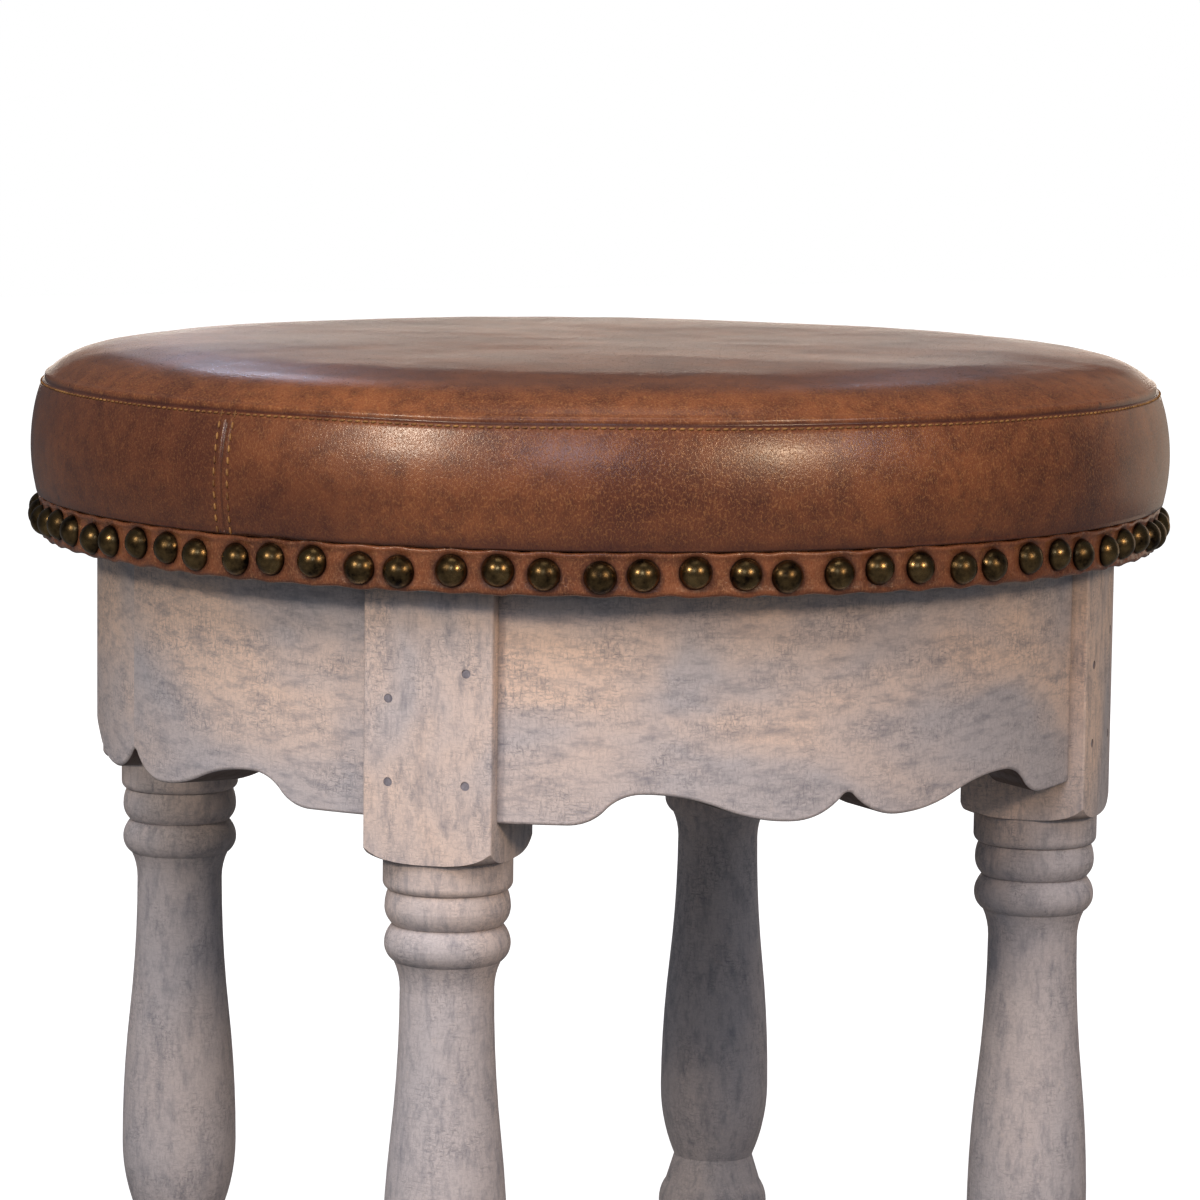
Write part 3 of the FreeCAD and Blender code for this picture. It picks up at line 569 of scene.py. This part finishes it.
def leather_cushion(swell):
    """The sewn leather cover over its stuffing, closed under the board."""
    crown_end = 0.86  # share of the top where its rows move closer
    seam_end = 0.165  # share of the side that has the seam's close rows
    side_end = 0.98  # where the side turns in
    crown = [crown_end * share for share in even(22)]
    shoulder = [crown_end + (1 - crown_end) * (1 - (1 - share) ** 1.7) for share in even(36)]
    seam = [seam_end * share for share in even(22)]
    side = seam + [seam_end + (side_end - seam_end) * share for share in even(30)]
    rows = panel_rows([("top", crown + shoulder), ("side", side)])
    angles = seat_columns()
    columns = len(angles)
    top_length = SEAM_RADIUS * 1.6  # by the slope at the seam
    side_length = SEAM_Z - CREASE_Z
    vertices = [Vector((0.0, 0.0, TOP_Z))]
    dye_and_shade = [0.0]
    for panel, share in rows:
        full, slack = full_and_slack(panel, share)
        ahead = seat_profile(panel, min(share + 0.01, 1.0), 0.0, 0.0)
        behind = seat_profile(panel, max(share - 0.01, 0.0), 0.0, 0.0)
        run = (ahead - behind).normalized()
        out = Vector((-run.y, run.x))
        drop = {"top": (share - 1.0) * top_length, "side": share * side_length}[panel]
        for angle in angles:
            fill = swell_at(swell, panel, share, angle)
            spot = slack + (full - slack) * fill
            flat = Vector((math.cos(angle), math.sin(angle), 0.0))
            wave = 0.5 * MM * noise.noise(flat * 3.0) * bell(drop, 9 * MM)
            place = flat * spot.x + Vector((0.0, 0.0, spot.y))
            relief = seam_relief(drop - wave)
            lift = relief + seat_wander(place) * min(abs(drop) / (8 * MM), 1.0)
            aside = turn_gap(angle, JOIN_ANGLE) * CREASE_RADIUS
            # Painted shade in the seam's groove
            shade = 0.8 * min(max(-relief / MM * 1.6, 0.0), 1.0)
            if panel == "side":
                inside = min(max((drop - 2.4 * MM) / (1.6 * MM), 0.0), 1.0)
                join = join_relief(aside + 0.5 * MM * noise.noise(Vector((0.0, 3.0, place.z * 60))))
                lift += join * inside
                # Painted shade in the join's split, at the crease and towards the bottom; darker where the
                # hide beside the join was dyed deeper
                shade = max(shade, 0.7 * min(max(-join / MM * 1.5, 0.0), 1.0) * inside)
                shade = max(shade, 0.62 * bell(side_length - drop, 5 * MM), 0.3 * (drop / side_length) ** 2)
                shade = max(shade, 0.5 * bell(aside - 35 * MM, 55 * MM) * min(drop / (25 * MM), 1.0))
                shade = max(shade, 0.3 * min(max(1 - aside / (260 * MM), 0.0), 1.0))
                behind_join = -turn_gap(angle, JOIN_ANGLE) % (2 * math.pi)
                shade = max(shade, 0.42 * (1 - min(behind_join / 2.6, 1.0)))
            vertices.append(place + flat * (out.x * lift) + Vector((0.0, 0.0, out.y * lift)))
            dye_and_shade.append(shade)
    # Turned in under the side, down behind the band and under the board
    last = rows[-1]
    end = seat_profile("side", last[1], 0.0, 0.0)
    tucked = []
    for step in range(1, 7):
        turn = math.pi / 2 * step / 6
        radius = end.x - CREASE_ROUND * (1 - math.cos(turn))
        tucked.append((radius, CREASE_Z + (end.y - CREASE_Z) * (1 - math.sin(turn))))
    inner_z = BOARD_LOW[2] + 1.5 * MM
    tucked += [
        (FLAT_RADIUS + 0.3 * MM, CREASE_Z),
        (FLAT_RADIUS, CREASE_Z - 0.4 * MM),
        (FLAT_RADIUS, BAND_LOW[2] + 1.0 * MM),
        (FLAT_RADIUS - 0.3 * MM, BAND_LOW[2] + 0.3 * MM),
        (FLAT_RADIUS - 1.0 * MM, BAND_LOW[2]),
        (WRAP_RADIUS, BAND_LOW[2]),
        (WRAP_RADIUS, inner_z),
        (WRAP_RADIUS / 2, inner_z),
    ]
    for radius, height in tucked:
        for angle in angles:
            vertices.append(Vector((radius * math.cos(angle), radius * math.sin(angle), height)))
            # Painted shade on the turned-in leather, hidden behind the band and under the board
            dye_and_shade.append(0.8)
    vertices.append(Vector((0.0, 0.0, inner_z)))
    dye_and_shade.append(0.8)
    rings = len(rows) + len(tucked)
    foot = len(vertices) - 1
    start = foot - columns
    faces = [(0, 1 + column, 1 + (column + 1) % columns) for column in range(columns)]
    faces += ring_faces(rings, columns, 1)
    faces += [(foot, start + (column + 1) % columns, start + column) for column in range(columns)]
    piece = new_piece("leather_seat_cover", vertices, faces, SEAT_LEATHER)
    set_attribute(piece, "dye_and_shade", dye_and_shade)
    return piece


# Nails and trim band

def nail_places():
    """Angle and height of each nail head, read from the CAD's nails."""
    mesh = bmesh.new()
    mesh.from_mesh(nodes["upholstery_nails"].data)
    bmesh.ops.remove_doubles(mesh, verts=mesh.verts, dist=0.001 * MM)
    places = []
    waiting = set(mesh.verts)
    while waiting:
        island = [waiting.pop()]
        for vertex in island:
            for edge in vertex.link_edges:
                other = edge.other_vert(vertex)
                if other in waiting:
                    waiting.remove(other)
                    island.append(other)
        tip = max(island, key=lambda vertex: math.hypot(vertex.co.x, vertex.co.y)).co
        places.append((math.atan2(tip.y, tip.x), tip.z))
    mesh.free()
    return sorted(places)


def trim_band(places):
    """The folded leather strip: puffed between the nails, its rolled edges pushed out by their heads."""
    per_nail = 22
    columns = per_nail * len(places)
    low = BAND_LOW[2]
    width = BAND_HIGH[2] - low
    inner = FLAT_RADIUS + SOFT_GAP
    thick = BAND_RADIUS - inner
    # Outline as (share of width, share of thickness), from the lower back edge over the face to the upper
    outline = [
        (0.03, 0.0), (0.0, 0.3), (0.0, 0.62), (0.025, 0.88), (0.075, 1.05), (0.14, 1.06), (0.22, 1.0),
        (0.31, 1.0), (0.4, 1.0), (0.5, 1.0), (0.6, 1.0), (0.69, 1.0), (0.77, 0.99), (0.84, 1.0),
        (0.9, 1.2), (0.95, 1.3), (0.995, 1.16), (1.015, 0.8), (1.015, 0.35), (0.98, 0.0),
    ]
    vertices = [None] * (len(outline) * columns)
    dye_and_shade = [0.0] * len(vertices)
    for column in range(columns):
        angle = 2 * math.pi * column / columns
        nearest = min(places, key=lambda place: abs(turn_gap(angle, place[0])))
        aside = turn_gap(angle, nearest[0]) * BAND_RADIUS
        flat = Vector((math.cos(angle), math.sin(angle), 0.0))
        hand = noise.noise(flat * 9.0)
        quick_hand = noise.noise(flat * 40.0)
        push = bell(aside, 5.0 * MM)
        for row, (up, out) in enumerate(outline):
            if up > 0.5:
                rise = (0.75 * push - 0.35 + 0.3 * hand + 0.15 * quick_hand) * MM * (up - 0.5) * 2
                rise += (nearest[1] - (low + width / 2)) * 0.25 * push * (up - 0.5) * 2
            else:
                rise = (-0.7 * push + 0.3 + 0.3 * quick_hand) * MM * (0.5 - up) * 2
            z = low + width * up + rise
            away = math.hypot(aside, z - nearest[1])
            puff = 0.65 * MM * (1 - math.exp(-(away / (7.6 * MM)) ** 4)) if out > 0.5 else 0.0
            wrinkle = noise.noise(Vector((angle * 90, up * 3.0, 0.0)))
            pucker = 0.3 * MM * wrinkle * bell(away - 7.0 * MM, 2.5 * MM)
            radius = inner + thick * out + (puff + pucker) * min(out, 1.0)
            vertices[row * columns + column] = flat * radius + Vector((0.0, 0.0, z))
            # Painted shade: darker in a ring round each nail head and on the strip's hidden back
            rim = 0.85 * bell(away - 5.3 * MM, 1.3 * MM) if out > 0.5 else 0.6
            dye_and_shade[row * columns + column] = rim
    rings = len(outline)
    faces = [tuple(reversed(face)) for face in ring_faces(rings, columns)]
    first = (rings - 1) * columns
    for column in range(columns):
        beside = (column + 1) % columns
        faces.append((first + column, column, beside, first + beside)[::-1])
    piece = new_piece("leather_band", vertices, faces, BAND_LEATHER)
    set_attribute(piece, "dye_and_shade", dye_and_shade)
    return piece


def nail_head():
    """One nail's domed head about its own X axis: a low dome with a rolled rim and a hollow back."""
    radius = 5.9 * MM
    height = 4.9 * MM
    ball = (radius ** 2 + height ** 2) / (2 * height)
    dome_end = math.asin(radius / ball)
    dome_steps = 8
    sides = 20
    outline = []
    for step in range(1, dome_steps + 1):
        turn = dome_end * (step / dome_steps)
        outline.append((ball * math.sin(turn), height - ball * (1 - math.cos(turn))))
    outline += [
        (radius - 0.05 * MM, -0.25 * MM), (radius - 0.6 * MM, -0.3 * MM), (radius - 1.4 * MM, -0.3 * MM)]
    vertices = [(height, 0.0, 0.0)]
    rims = [0.0]
    for away, out in outline:
        for side in range(sides):
            turn = 2 * math.pi * side / sides
            vertices.append((out, away * math.cos(turn), away * math.sin(turn)))
            # Each ring's share of the painted shade at the head's rim
            rims.append(min(max((away / radius - 0.84) / 0.16, 0.0), 1.0))
    vertices.append((-0.3 * MM, 0.0, 0.0))
    rims.append(1.0)
    faces = [(0, 1 + side, 1 + (side + 1) % sides) for side in range(sides)]
    faces += ring_faces(len(outline), sides, 1)
    back = len(vertices) - 1
    start = back - sides
    faces += [(back, start + (side + 1) % sides, start + side) for side in range(sides)]
    head = new_piece("nail_head", vertices, faces, BRASS)
    set_attribute(head, "rim", rims)
    return head


def modelling_tree(name, inputs):
    """A Geometry Nodes tree with a geometry input and output and these named inputs."""
    tree = bpy.data.node_groups.new(name, "GeometryNodeTree")
    tree.interface.new_socket("Geometry", in_out="INPUT", socket_type="NodeSocketGeometry")
    for label, kind in inputs:
        tree.interface.new_socket(label, in_out="INPUT", socket_type=kind)
    tree.interface.new_socket("Geometry", in_out="OUTPUT", socket_type="NodeSocketGeometry")
    return tree, add(tree, "NodeGroupInput").outputs


def grown(name, carrier, tree, values):
    """The plain mesh that a tree makes on a carrier, which is then removed."""
    modifier = carrier.modifiers.new(name, "NODES")
    modifier.node_group = tree
    for item in tree.interface.items_tree:
        if item.in_out == "INPUT" and item.name in values:
            modifier[item.identifier] = values[item.name]
    bpy.context.view_layer.update()
    ready = carrier.evaluated_get(bpy.context.evaluated_depsgraph_get())
    mesh = bpy.data.meshes.new_from_object(ready)
    mesh.name = name
    piece = bpy.data.objects.new(name, mesh)
    scene.collection.objects.link(piece)
    bpy.data.objects.remove(carrier)
    return piece


def carrier_of(name, points, edges, vectors):
    """Loose points, or a path, that carry named directions for a tree."""
    mesh = bpy.data.meshes.new(name)
    mesh.from_pydata(points, edges, [])
    for label, values in vectors.items():
        layer = mesh.attributes.new(label, "FLOAT_VECTOR", "POINT")
        layer.data.foreach_set("vector", [value for vector in values for value in vector])
    carrier = bpy.data.objects.new(name, mesh)
    scene.collection.objects.link(carrier)
    return carrier


def hand_set_nails(places):
    """The nail heads where the CAD has them, each knocked in a little askew."""
    tree, given = modelling_tree("nail_setting", [
        ("Head", "NodeSocketObject"), ("Tilt", "NodeSocketFloat"), ("Seed", "NodeSocketInt")])
    outward = add(tree, "GeometryNodeInputNamedAttribute", {"Name": "outward"}, data_type="FLOAT_VECTOR")
    facing = add(tree, "FunctionNodeAlignRotationToVector", {"Vector": outward.outputs[0]}, axis="X")
    backward = add(tree, "ShaderNodeMath", {0: given["Tilt"], 1: -1.0}, operation="MULTIPLY")
    most = add(tree, "ShaderNodeCombineXYZ", {0: 3.14, 1: given["Tilt"], 2: given["Tilt"]})
    least = add(tree, "ShaderNodeCombineXYZ", {0: -3.14, 1: backward.outputs[0], 2: backward.outputs[0]})
    askew = add(tree, "FunctionNodeRandomValue", {
        0: least.outputs[0], 1: most.outputs[0], "Seed": given["Seed"]}, data_type="FLOAT_VECTOR")
    skew = add(tree, "FunctionNodeEulerToRotation", {0: askew.outputs[0]})
    turned = add(tree, "FunctionNodeRotateRotation", {
        "Rotation": facing.outputs[0], "Rotate By": skew.outputs[0]}, rotation_space="LOCAL")
    head = add(tree, "GeometryNodeObjectInfo", {"Object": given["Head"]})
    set_in = add(tree, "GeometryNodeInstanceOnPoints", {
        "Points": given["Geometry"], "Instance": head.outputs["Geometry"], "Rotation": turned.outputs[0]})
    real = add(tree, "GeometryNodeRealizeInstances", {0: set_in.outputs[0]})
    coated = add(tree, "GeometryNodeSetMaterial", {"Geometry": real.outputs[0], "Material": BRASS})
    add(tree, "NodeGroupOutput", {0: coated.outputs[0]})

    points = []
    outwards = []
    for angle, height in places:
        flat = Vector((math.cos(angle), math.sin(angle), 0.0))
        points.append(flat * (BAND_RADIUS + 0.1 * MM) + Vector((0.0, 0.0, height)))
        outwards.append(flat)
    head_piece = nail_head()
    carrier = carrier_of("nail_points", points, [], {"outward": outwards})
    nails = grown("dome_nails", carrier, tree, {"Head": head_piece, "Tilt": math.radians(5.0), "Seed": 7})
    bpy.data.objects.remove(head_piece)
    return nails


def stitch_tree():
    """Stitches along a path: each a short thread that dips into the leather at both ends."""
    tree, given = modelling_tree("stitching", [
        ("Pitch", "NodeSocketFloat"), ("Width", "NodeSocketFloat"), ("Slant", "NodeSocketFloat"),
        ("Seed", "NodeSocketInt")])
    path = add(tree, "GeometryNodeMeshToCurve", {0: given["Geometry"]})
    stepped = add(tree, "GeometryNodeResampleCurve", {
        "Curve": path.outputs[0], "Length": given["Pitch"]}, mode="LENGTH")
    tangent = add(tree, "GeometryNodeInputTangent")
    outward = add(tree, "GeometryNodeInputNamedAttribute", {"Name": "outward"}, data_type="FLOAT_VECTOR")
    along = add(tree, "FunctionNodeAlignRotationToVector", {"Vector": tangent.outputs[0]}, axis="X")
    facing = add(tree, "FunctionNodeAlignRotationToVector", {
        "Rotation": along.outputs[0], "Vector": outward.outputs[0]}, axis="Z", pivot_axis="X")
    slack = add(tree, "FunctionNodeRandomValue", {2: 0.4, 3: 1.0, "Seed": given["Seed"]}, data_type="FLOAT")
    slant = add(tree, "ShaderNodeMath", {0: given["Slant"], 1: slack.outputs[1]}, operation="MULTIPLY")
    lean = add(tree, "ShaderNodeCombineXYZ", {2: slant.outputs[0]})
    leaned = add(tree, "FunctionNodeEulerToRotation", {0: lean.outputs[0]})
    turned = add(tree, "FunctionNodeRotateRotation", {
        "Rotation": facing.outputs[0], "Rotate By": leaned.outputs[0]}, rotation_space="LOCAL")
    bead = add(tree, "GeometryNodeMeshUVSphere", {"Segments": 8, "Rings": 5, "Radius": 0.5})
    length = add(tree, "ShaderNodeMath", {0: given["Pitch"], 1: 0.74}, operation="MULTIPLY")
    height = add(tree, "ShaderNodeMath", {0: given["Width"], 1: 0.9}, operation="MULTIPLY")
    size = add(tree, "ShaderNodeCombineXYZ", {
        0: length.outputs[0], 1: given["Width"], 2: height.outputs[0]})
    sewn = add(tree, "GeometryNodeInstanceOnPoints", {
        "Points": stepped.outputs[0], "Instance": bead.outputs[0], "Rotation": turned.outputs[0],
        "Scale": size.outputs[0]})
    real = add(tree, "GeometryNodeRealizeInstances", {0: sewn.outputs[0]})
    smooth = add(tree, "GeometryNodeSetShadeSmooth", {0: real.outputs[0]})
    waxed = add(tree, "GeometryNodeSetMaterial", {"Geometry": smooth.outputs[0], "Material": THREAD})
    add(tree, "NodeGroupOutput", {0: waxed.outputs[0]})
    return tree


def on_leather(cover, start, way):
    """Where a ray from start along way meets the seat cover, and the face's direction there."""
    hit, place, normal, _ = cover.ray_cast(start, way)
    return (place, normal) if hit else None


def stitched_row(name, cover, tree, starts, pitch, closed):
    """A row of stitches through the places where rays towards the seat's axis meet the leather."""
    places = []
    normals = []
    for start in starts:
        way = Vector((-start.x, -start.y, 0.0)).normalized()
        met = on_leather(cover, start, way)
        if met:
            places.append(met[0] + met[1] * 0.2 * MM)
            normals.append(met[1])
    edges = [(index, index + 1) for index in range(len(places) - 1)]
    if closed:
        edges.append((len(places) - 1, 0))
    carrier = carrier_of(name + "_path", places, edges, {"outward": normals})
    return grown(name, carrier, tree, {"Pitch": pitch, "Width": THREAD_WIDTH, "Slant": 0.12, "Seed": 3})


def seat_stitching(cover):
    """Stitch rows under the top seam and down both sides of the upright join."""
    tree = stitch_tree()
    outside = CREASE_RADIUS + 30 * MM
    ring = []
    steps = 900
    for step in range(steps):
        angle = 2 * math.pi * step / steps
        flat = Vector((math.cos(angle), math.sin(angle), 0.0))
        wave = 0.5 * MM * noise.noise(flat * 3.0)
        ring.append(flat * outside + Vector((0.0, 0.0, SEAM_Z - TOPSTITCH_DROP * 0.99 - wave)))
    rows = [stitched_row("top_seam_stitches", cover, tree, ring, TOPSTITCH_PITCH, True)]
    for label, aside in (("left", -JOIN_ROW_OFFSET), ("right", JOIN_ROW_OFFSET)):
        starts = []
        for step in range(120):
            z = SEAM_Z - TOPSTITCH_DROP - (SEAM_Z - CREASE_Z - TOPSTITCH_DROP - 1.5 * MM) * step / 119
            angle = JOIN_ANGLE + (aside - 0.5 * MM * noise.noise(Vector((0.0, 3.0, z * 60)))) / CREASE_RADIUS
            starts.append(Vector((outside * math.cos(angle), outside * math.sin(angle), z)))
        rows.append(stitched_row("join_stitches_" + label, cover, tree, starts, JOIN_PITCH, False))
    return rows


# Dust cover

def dust_sheet():
    """Thin cloth stapled tight under the board, a little slack between its staples."""
    radius = DUST_HIGH[0]
    columns = 192
    rings = 30
    lower_z = DUST_LOW[2]
    upper_z = DUST_HIGH[2]
    step_out = WRAP_RADIUS - SOFT_GAP
    step_in = step_out - 3 * MM
    thick = 0.5 * MM
    tops = []
    for ring in range(1, rings + 1):
        away = radius * ring / rings
        part = min(max((away - step_in) / (step_out - step_in), 0.0), 1.0)
        base = upper_z + (BAND_LOW[2] - upper_z) * part
        for column in range(columns):
            angle = 2 * math.pi * column / columns
            place = Vector((away * math.cos(angle), away * math.sin(angle), base - 0.05 * MM))
            sag = 0.35 * MM * (0.5 + 0.5 * noise.noise(place * 22.0)) * min(ring / 4, 1.0) * (1 - part)
            place.z -= sag
            tops.append(place)
    centre = Vector((0.0, 0.0, upper_z - 0.05 * MM))
    upper = [centre] + tops
    lower = [Vector((point.x, point.y, max(point.z - thick, lower_z - 0.3 * MM))) for point in upper]
    vertices = upper + lower
    shift = len(upper)
    faces = [(0, 1 + column, 1 + (column + 1) % columns) for column in range(columns)]
    faces += ring_faces(rings, columns, 1)
    faces += [tuple(shift + index for index in reversed(face)) for face in list(faces)]
    edge = 1 + (rings - 1) * columns
    for column in range(columns):
        beside = (column + 1) % columns
        faces.append((edge + column, shift + edge + column, shift + edge + beside, edge + beside))
    return new_piece("dust_sheet", vertices, faces, DUST_CLOTH)


# The object

swell = swollen_seat()
places = nail_places()
cover = leather_cushion(swell)
stitches = seat_stitching(cover)
band = trim_band(places)
nails = hand_set_nails(places)
sheet = dust_sheet()

for piece in [cover, band, nails, sheet] + stitches:
    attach(piece, "root")
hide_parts("leather_top_panel", "leather_boxing", "seat_foam")
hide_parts("leather_trim_band")
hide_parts("upholstery_nails")
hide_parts("dust_cover")

FINISHES = {
    "leg": LEG_WOOD,
    "apron": APRON_WOOD,
    "tenon_pins": PIN_WOOD,
    "seat_cleat": RAW_WOOD,
    "seat_board": PLYWOOD,
    "foot_glide": NYLON,
    "seat_screws": STEEL,
    "cleat_screws": STEEL,
    "dust_cover_staples": STEEL,
}
for name, node in nodes.items():
    for start, finish in FINISHES.items():
        if name.startswith(start):
            node.data.materials.clear()
            node.data.materials.append(finish)


# Camera

def camera_axes():
    """The camera's right, up and forward directions in the object's frame."""
    level = math.cos(CAMERA_PITCH)
    forward = Vector((math.sin(CAMERA_YAW) * level, math.cos(CAMERA_YAW) * level, -math.sin(CAMERA_PITCH)))
    right = Vector((math.cos(CAMERA_YAW), -math.sin(CAMERA_YAW), 0.0))
    up = right.cross(forward)
    leaned_right = right * math.cos(CAMERA_ROLL) + up * math.sin(CAMERA_ROLL)
    leaned_up = up * math.cos(CAMERA_ROLL) - right * math.sin(CAMERA_ROLL)
    spin = Matrix.Rotation(CAMERA_AZIMUTH, 3, "Z")
    return spin @ leaned_right, spin @ leaned_up, spin @ forward


camera_data = bpy.data.cameras.new("camera")
camera_data.lens = CAMERA_LENS
camera_data.sensor_width = 36.0
camera = bpy.data.objects.new("camera", camera_data)
right, up, forward = camera_axes()
eye = Vector((
    CAMERA_DISTANCE * math.sin(CAMERA_AZIMUTH), -CAMERA_DISTANCE * math.cos(CAMERA_AZIMUTH), CAMERA_HEIGHT))
pose = Matrix((right, up, -forward)).transposed().to_4x4()
pose.translation = eye
camera.matrix_world = pose
scene.collection.objects.link(camera)
scene.camera = camera


# Light, floor and background

# The room that leather and brass mirror is dimmer than the white background
MIRRORED_FLOOR = 0.06
MIRRORED_ROOM = 0.1
ROOM_LIGHT = 0.37
LAMP_AIM = Vector((0.0, 0.0, 360 * MM))


def softbox(name, azimuth, elevation, distance, width, height, level, colour, mirrored=True, lighting=True):
    """An area lamp aimed at the seat, placed by its angle to the right of the camera and above the seat."""
    turn = CAMERA_AZIMUTH + math.radians(azimuth)
    rise = math.radians(elevation)
    way = Vector((math.sin(turn) * math.cos(rise), -math.cos(turn) * math.cos(rise), math.sin(rise)))
    data = bpy.data.lights.new(name, "AREA")
    data.shape = "RECTANGLE"
    data.size = width
    data.size_y = height
    data.energy = level * math.pi * distance ** 2
    data.color = linear(colour)[:3]
    lamp = bpy.data.objects.new(name, data)
    lamp.location = LAMP_AIM + way * distance
    lamp.rotation_euler = way.to_track_quat("Z", "Y").to_euler()
    lamp.visible_camera = False
    lamp.visible_glossy = mirrored
    lamp.visible_diffuse = lighting
    scene.collection.objects.link(lamp)


# Angle to the right of the camera and upwards, distance, width, height, level and colour of each lamp
softbox("lamp_left", -37, 24, 1.7, 0.2, 0.18, 0.85, "#ffe9d2")
softbox("lamp_right", 34, 20, 1.7, 0.24, 0.2, 0.8, "#ffdcb8")
softbox("window_front", -6, 21, 1.9, 0.4, 0.3, 0.2, "#dfe9ff")
softbox("window_right", 50, 22, 1.8, 0.16, 0.3, 0.09, "#dfe9ff")
softbox("ceiling_front", -16, 50, 1.8, 1.1, 0.9, 1.75, "#f8f8ff", mirrored=False)
softbox("ceiling_over", 0, 78, 1.5, 0.7, 0.7, 0.25, "#fff8f0")
softbox("rear_left", -169, 22, 2.0, 0.1, 0.08, 0.035, "#d6e2ff")
softbox("rear_right", 171, 22, 2.0, 0.1, 0.1, 0.006, "#d6e2ff")
softbox("backdrop", 180, 2.6, 2.4, 1.5, 0.26, 0.235, "#ffefdf")
softbox("wall_right", 141, 4, 2.2, 1.7, 1.1, 0.17, "#ffe4c8", lighting=False)


def pale_floor():
    """White paper that keeps the stool's shadow, fades to white away from it and is clear from below."""
    size = 8.0
    corners = [(-size, -size, 0.0), (size, -size, 0.0), (size, size, 0.0), (-size, size, 0.0)]
    material = bpy.data.materials.new("matt_white_paper")
    material.use_nodes = True
    tree = material.node_tree
    tree.nodes.clear()
    path = add(tree, "ShaderNodeLightPath")
    seen = add(tree, "ShaderNodeMath", {
        0: path.outputs["Is Camera Ray"], 1: path.outputs["Is Transmission Ray"]}, operation="MAXIMUM")
    mirrored = add(tree, "ShaderNodeMath", {
        0: path.outputs["Is Glossy Ray"], 1: MIRRORED_FLOOR}, operation="MULTIPLY")
    shown = add(tree, "ShaderNodeMath", {0: seen.outputs[0], 1: mirrored.outputs[0]}, operation="MAXIMUM")
    place = add(tree, "ShaderNodeTexCoord").outputs["Object"]
    away = add(tree, "ShaderNodeVectorMath", {0: place}, operation="LENGTH")
    # A little under white near the feet, so that the shadow shows
    fade = add(tree, "ShaderNodeMapRange", {
        "Value": away.outputs["Value"], 1: 0.3, 2: 1.1, 3: 0.82, 4: 1.0})
    glow = add(tree, "ShaderNodeMath", {0: shown.outputs[0], 1: fade.outputs[0]}, operation="MULTIPLY")
    light = add(tree, "ShaderNodeEmission", {"Strength": glow.outputs[0]})
    paper = add(tree, "ShaderNodeMix", {
        0: seen.outputs[0], 6: (0.15, 0.15, 0.15, 1.0), 7: (0.4, 0.4, 0.4, 1.0)}, data_type="RGBA")
    matt = add(tree, "ShaderNodeBsdfDiffuse", {"Color": paper.outputs[2]})
    both = add(tree, "ShaderNodeAddShader", {0: light.outputs[0], 1: matt.outputs[0]})
    below = add(tree, "ShaderNodeNewGeometry").outputs["Backfacing"]
    clear = add(tree, "ShaderNodeBsdfTransparent")
    sided = add(tree, "ShaderNodeMixShader", {0: below, 1: both.outputs[0], 2: clear.outputs[0]})
    add(tree, "ShaderNodeOutputMaterial", {"Surface": sided.outputs[0]})
    return new_piece("floor", corners, [(0, 1, 2, 3)], material, smooth=False)


pale_floor()

world = bpy.data.worlds.new("white_room")
scene.world = world
world.use_nodes = True
tree = world.node_tree
tree.nodes.clear()
path = add(tree, "ShaderNodeLightPath")
seen = add(tree, "ShaderNodeMath", {
    0: path.outputs["Is Camera Ray"], 1: path.outputs["Is Transmission Ray"]}, operation="MAXIMUM")
plain = add(tree, "ShaderNodeMapRange", {"Value": seen.outputs[0], 3: ROOM_LIGHT, 4: 1.0})
strength = add(tree, "ShaderNodeMix", {
    0: path.outputs["Is Glossy Ray"], 2: plain.outputs[0], 3: MIRRORED_ROOM}, data_type="FLOAT")
tint = add(tree, "ShaderNodeMix", {
    0: seen.outputs[0], 6: linear("#eaecf4"), 7: linear("#ffffff")}, data_type="RGBA")
shine = add(tree, "ShaderNodeBackground", {"Color": tint.outputs[2], "Strength": strength.outputs[0]})
add(tree, "ShaderNodeOutputWorld", {"Surface": shine.outputs[0]})
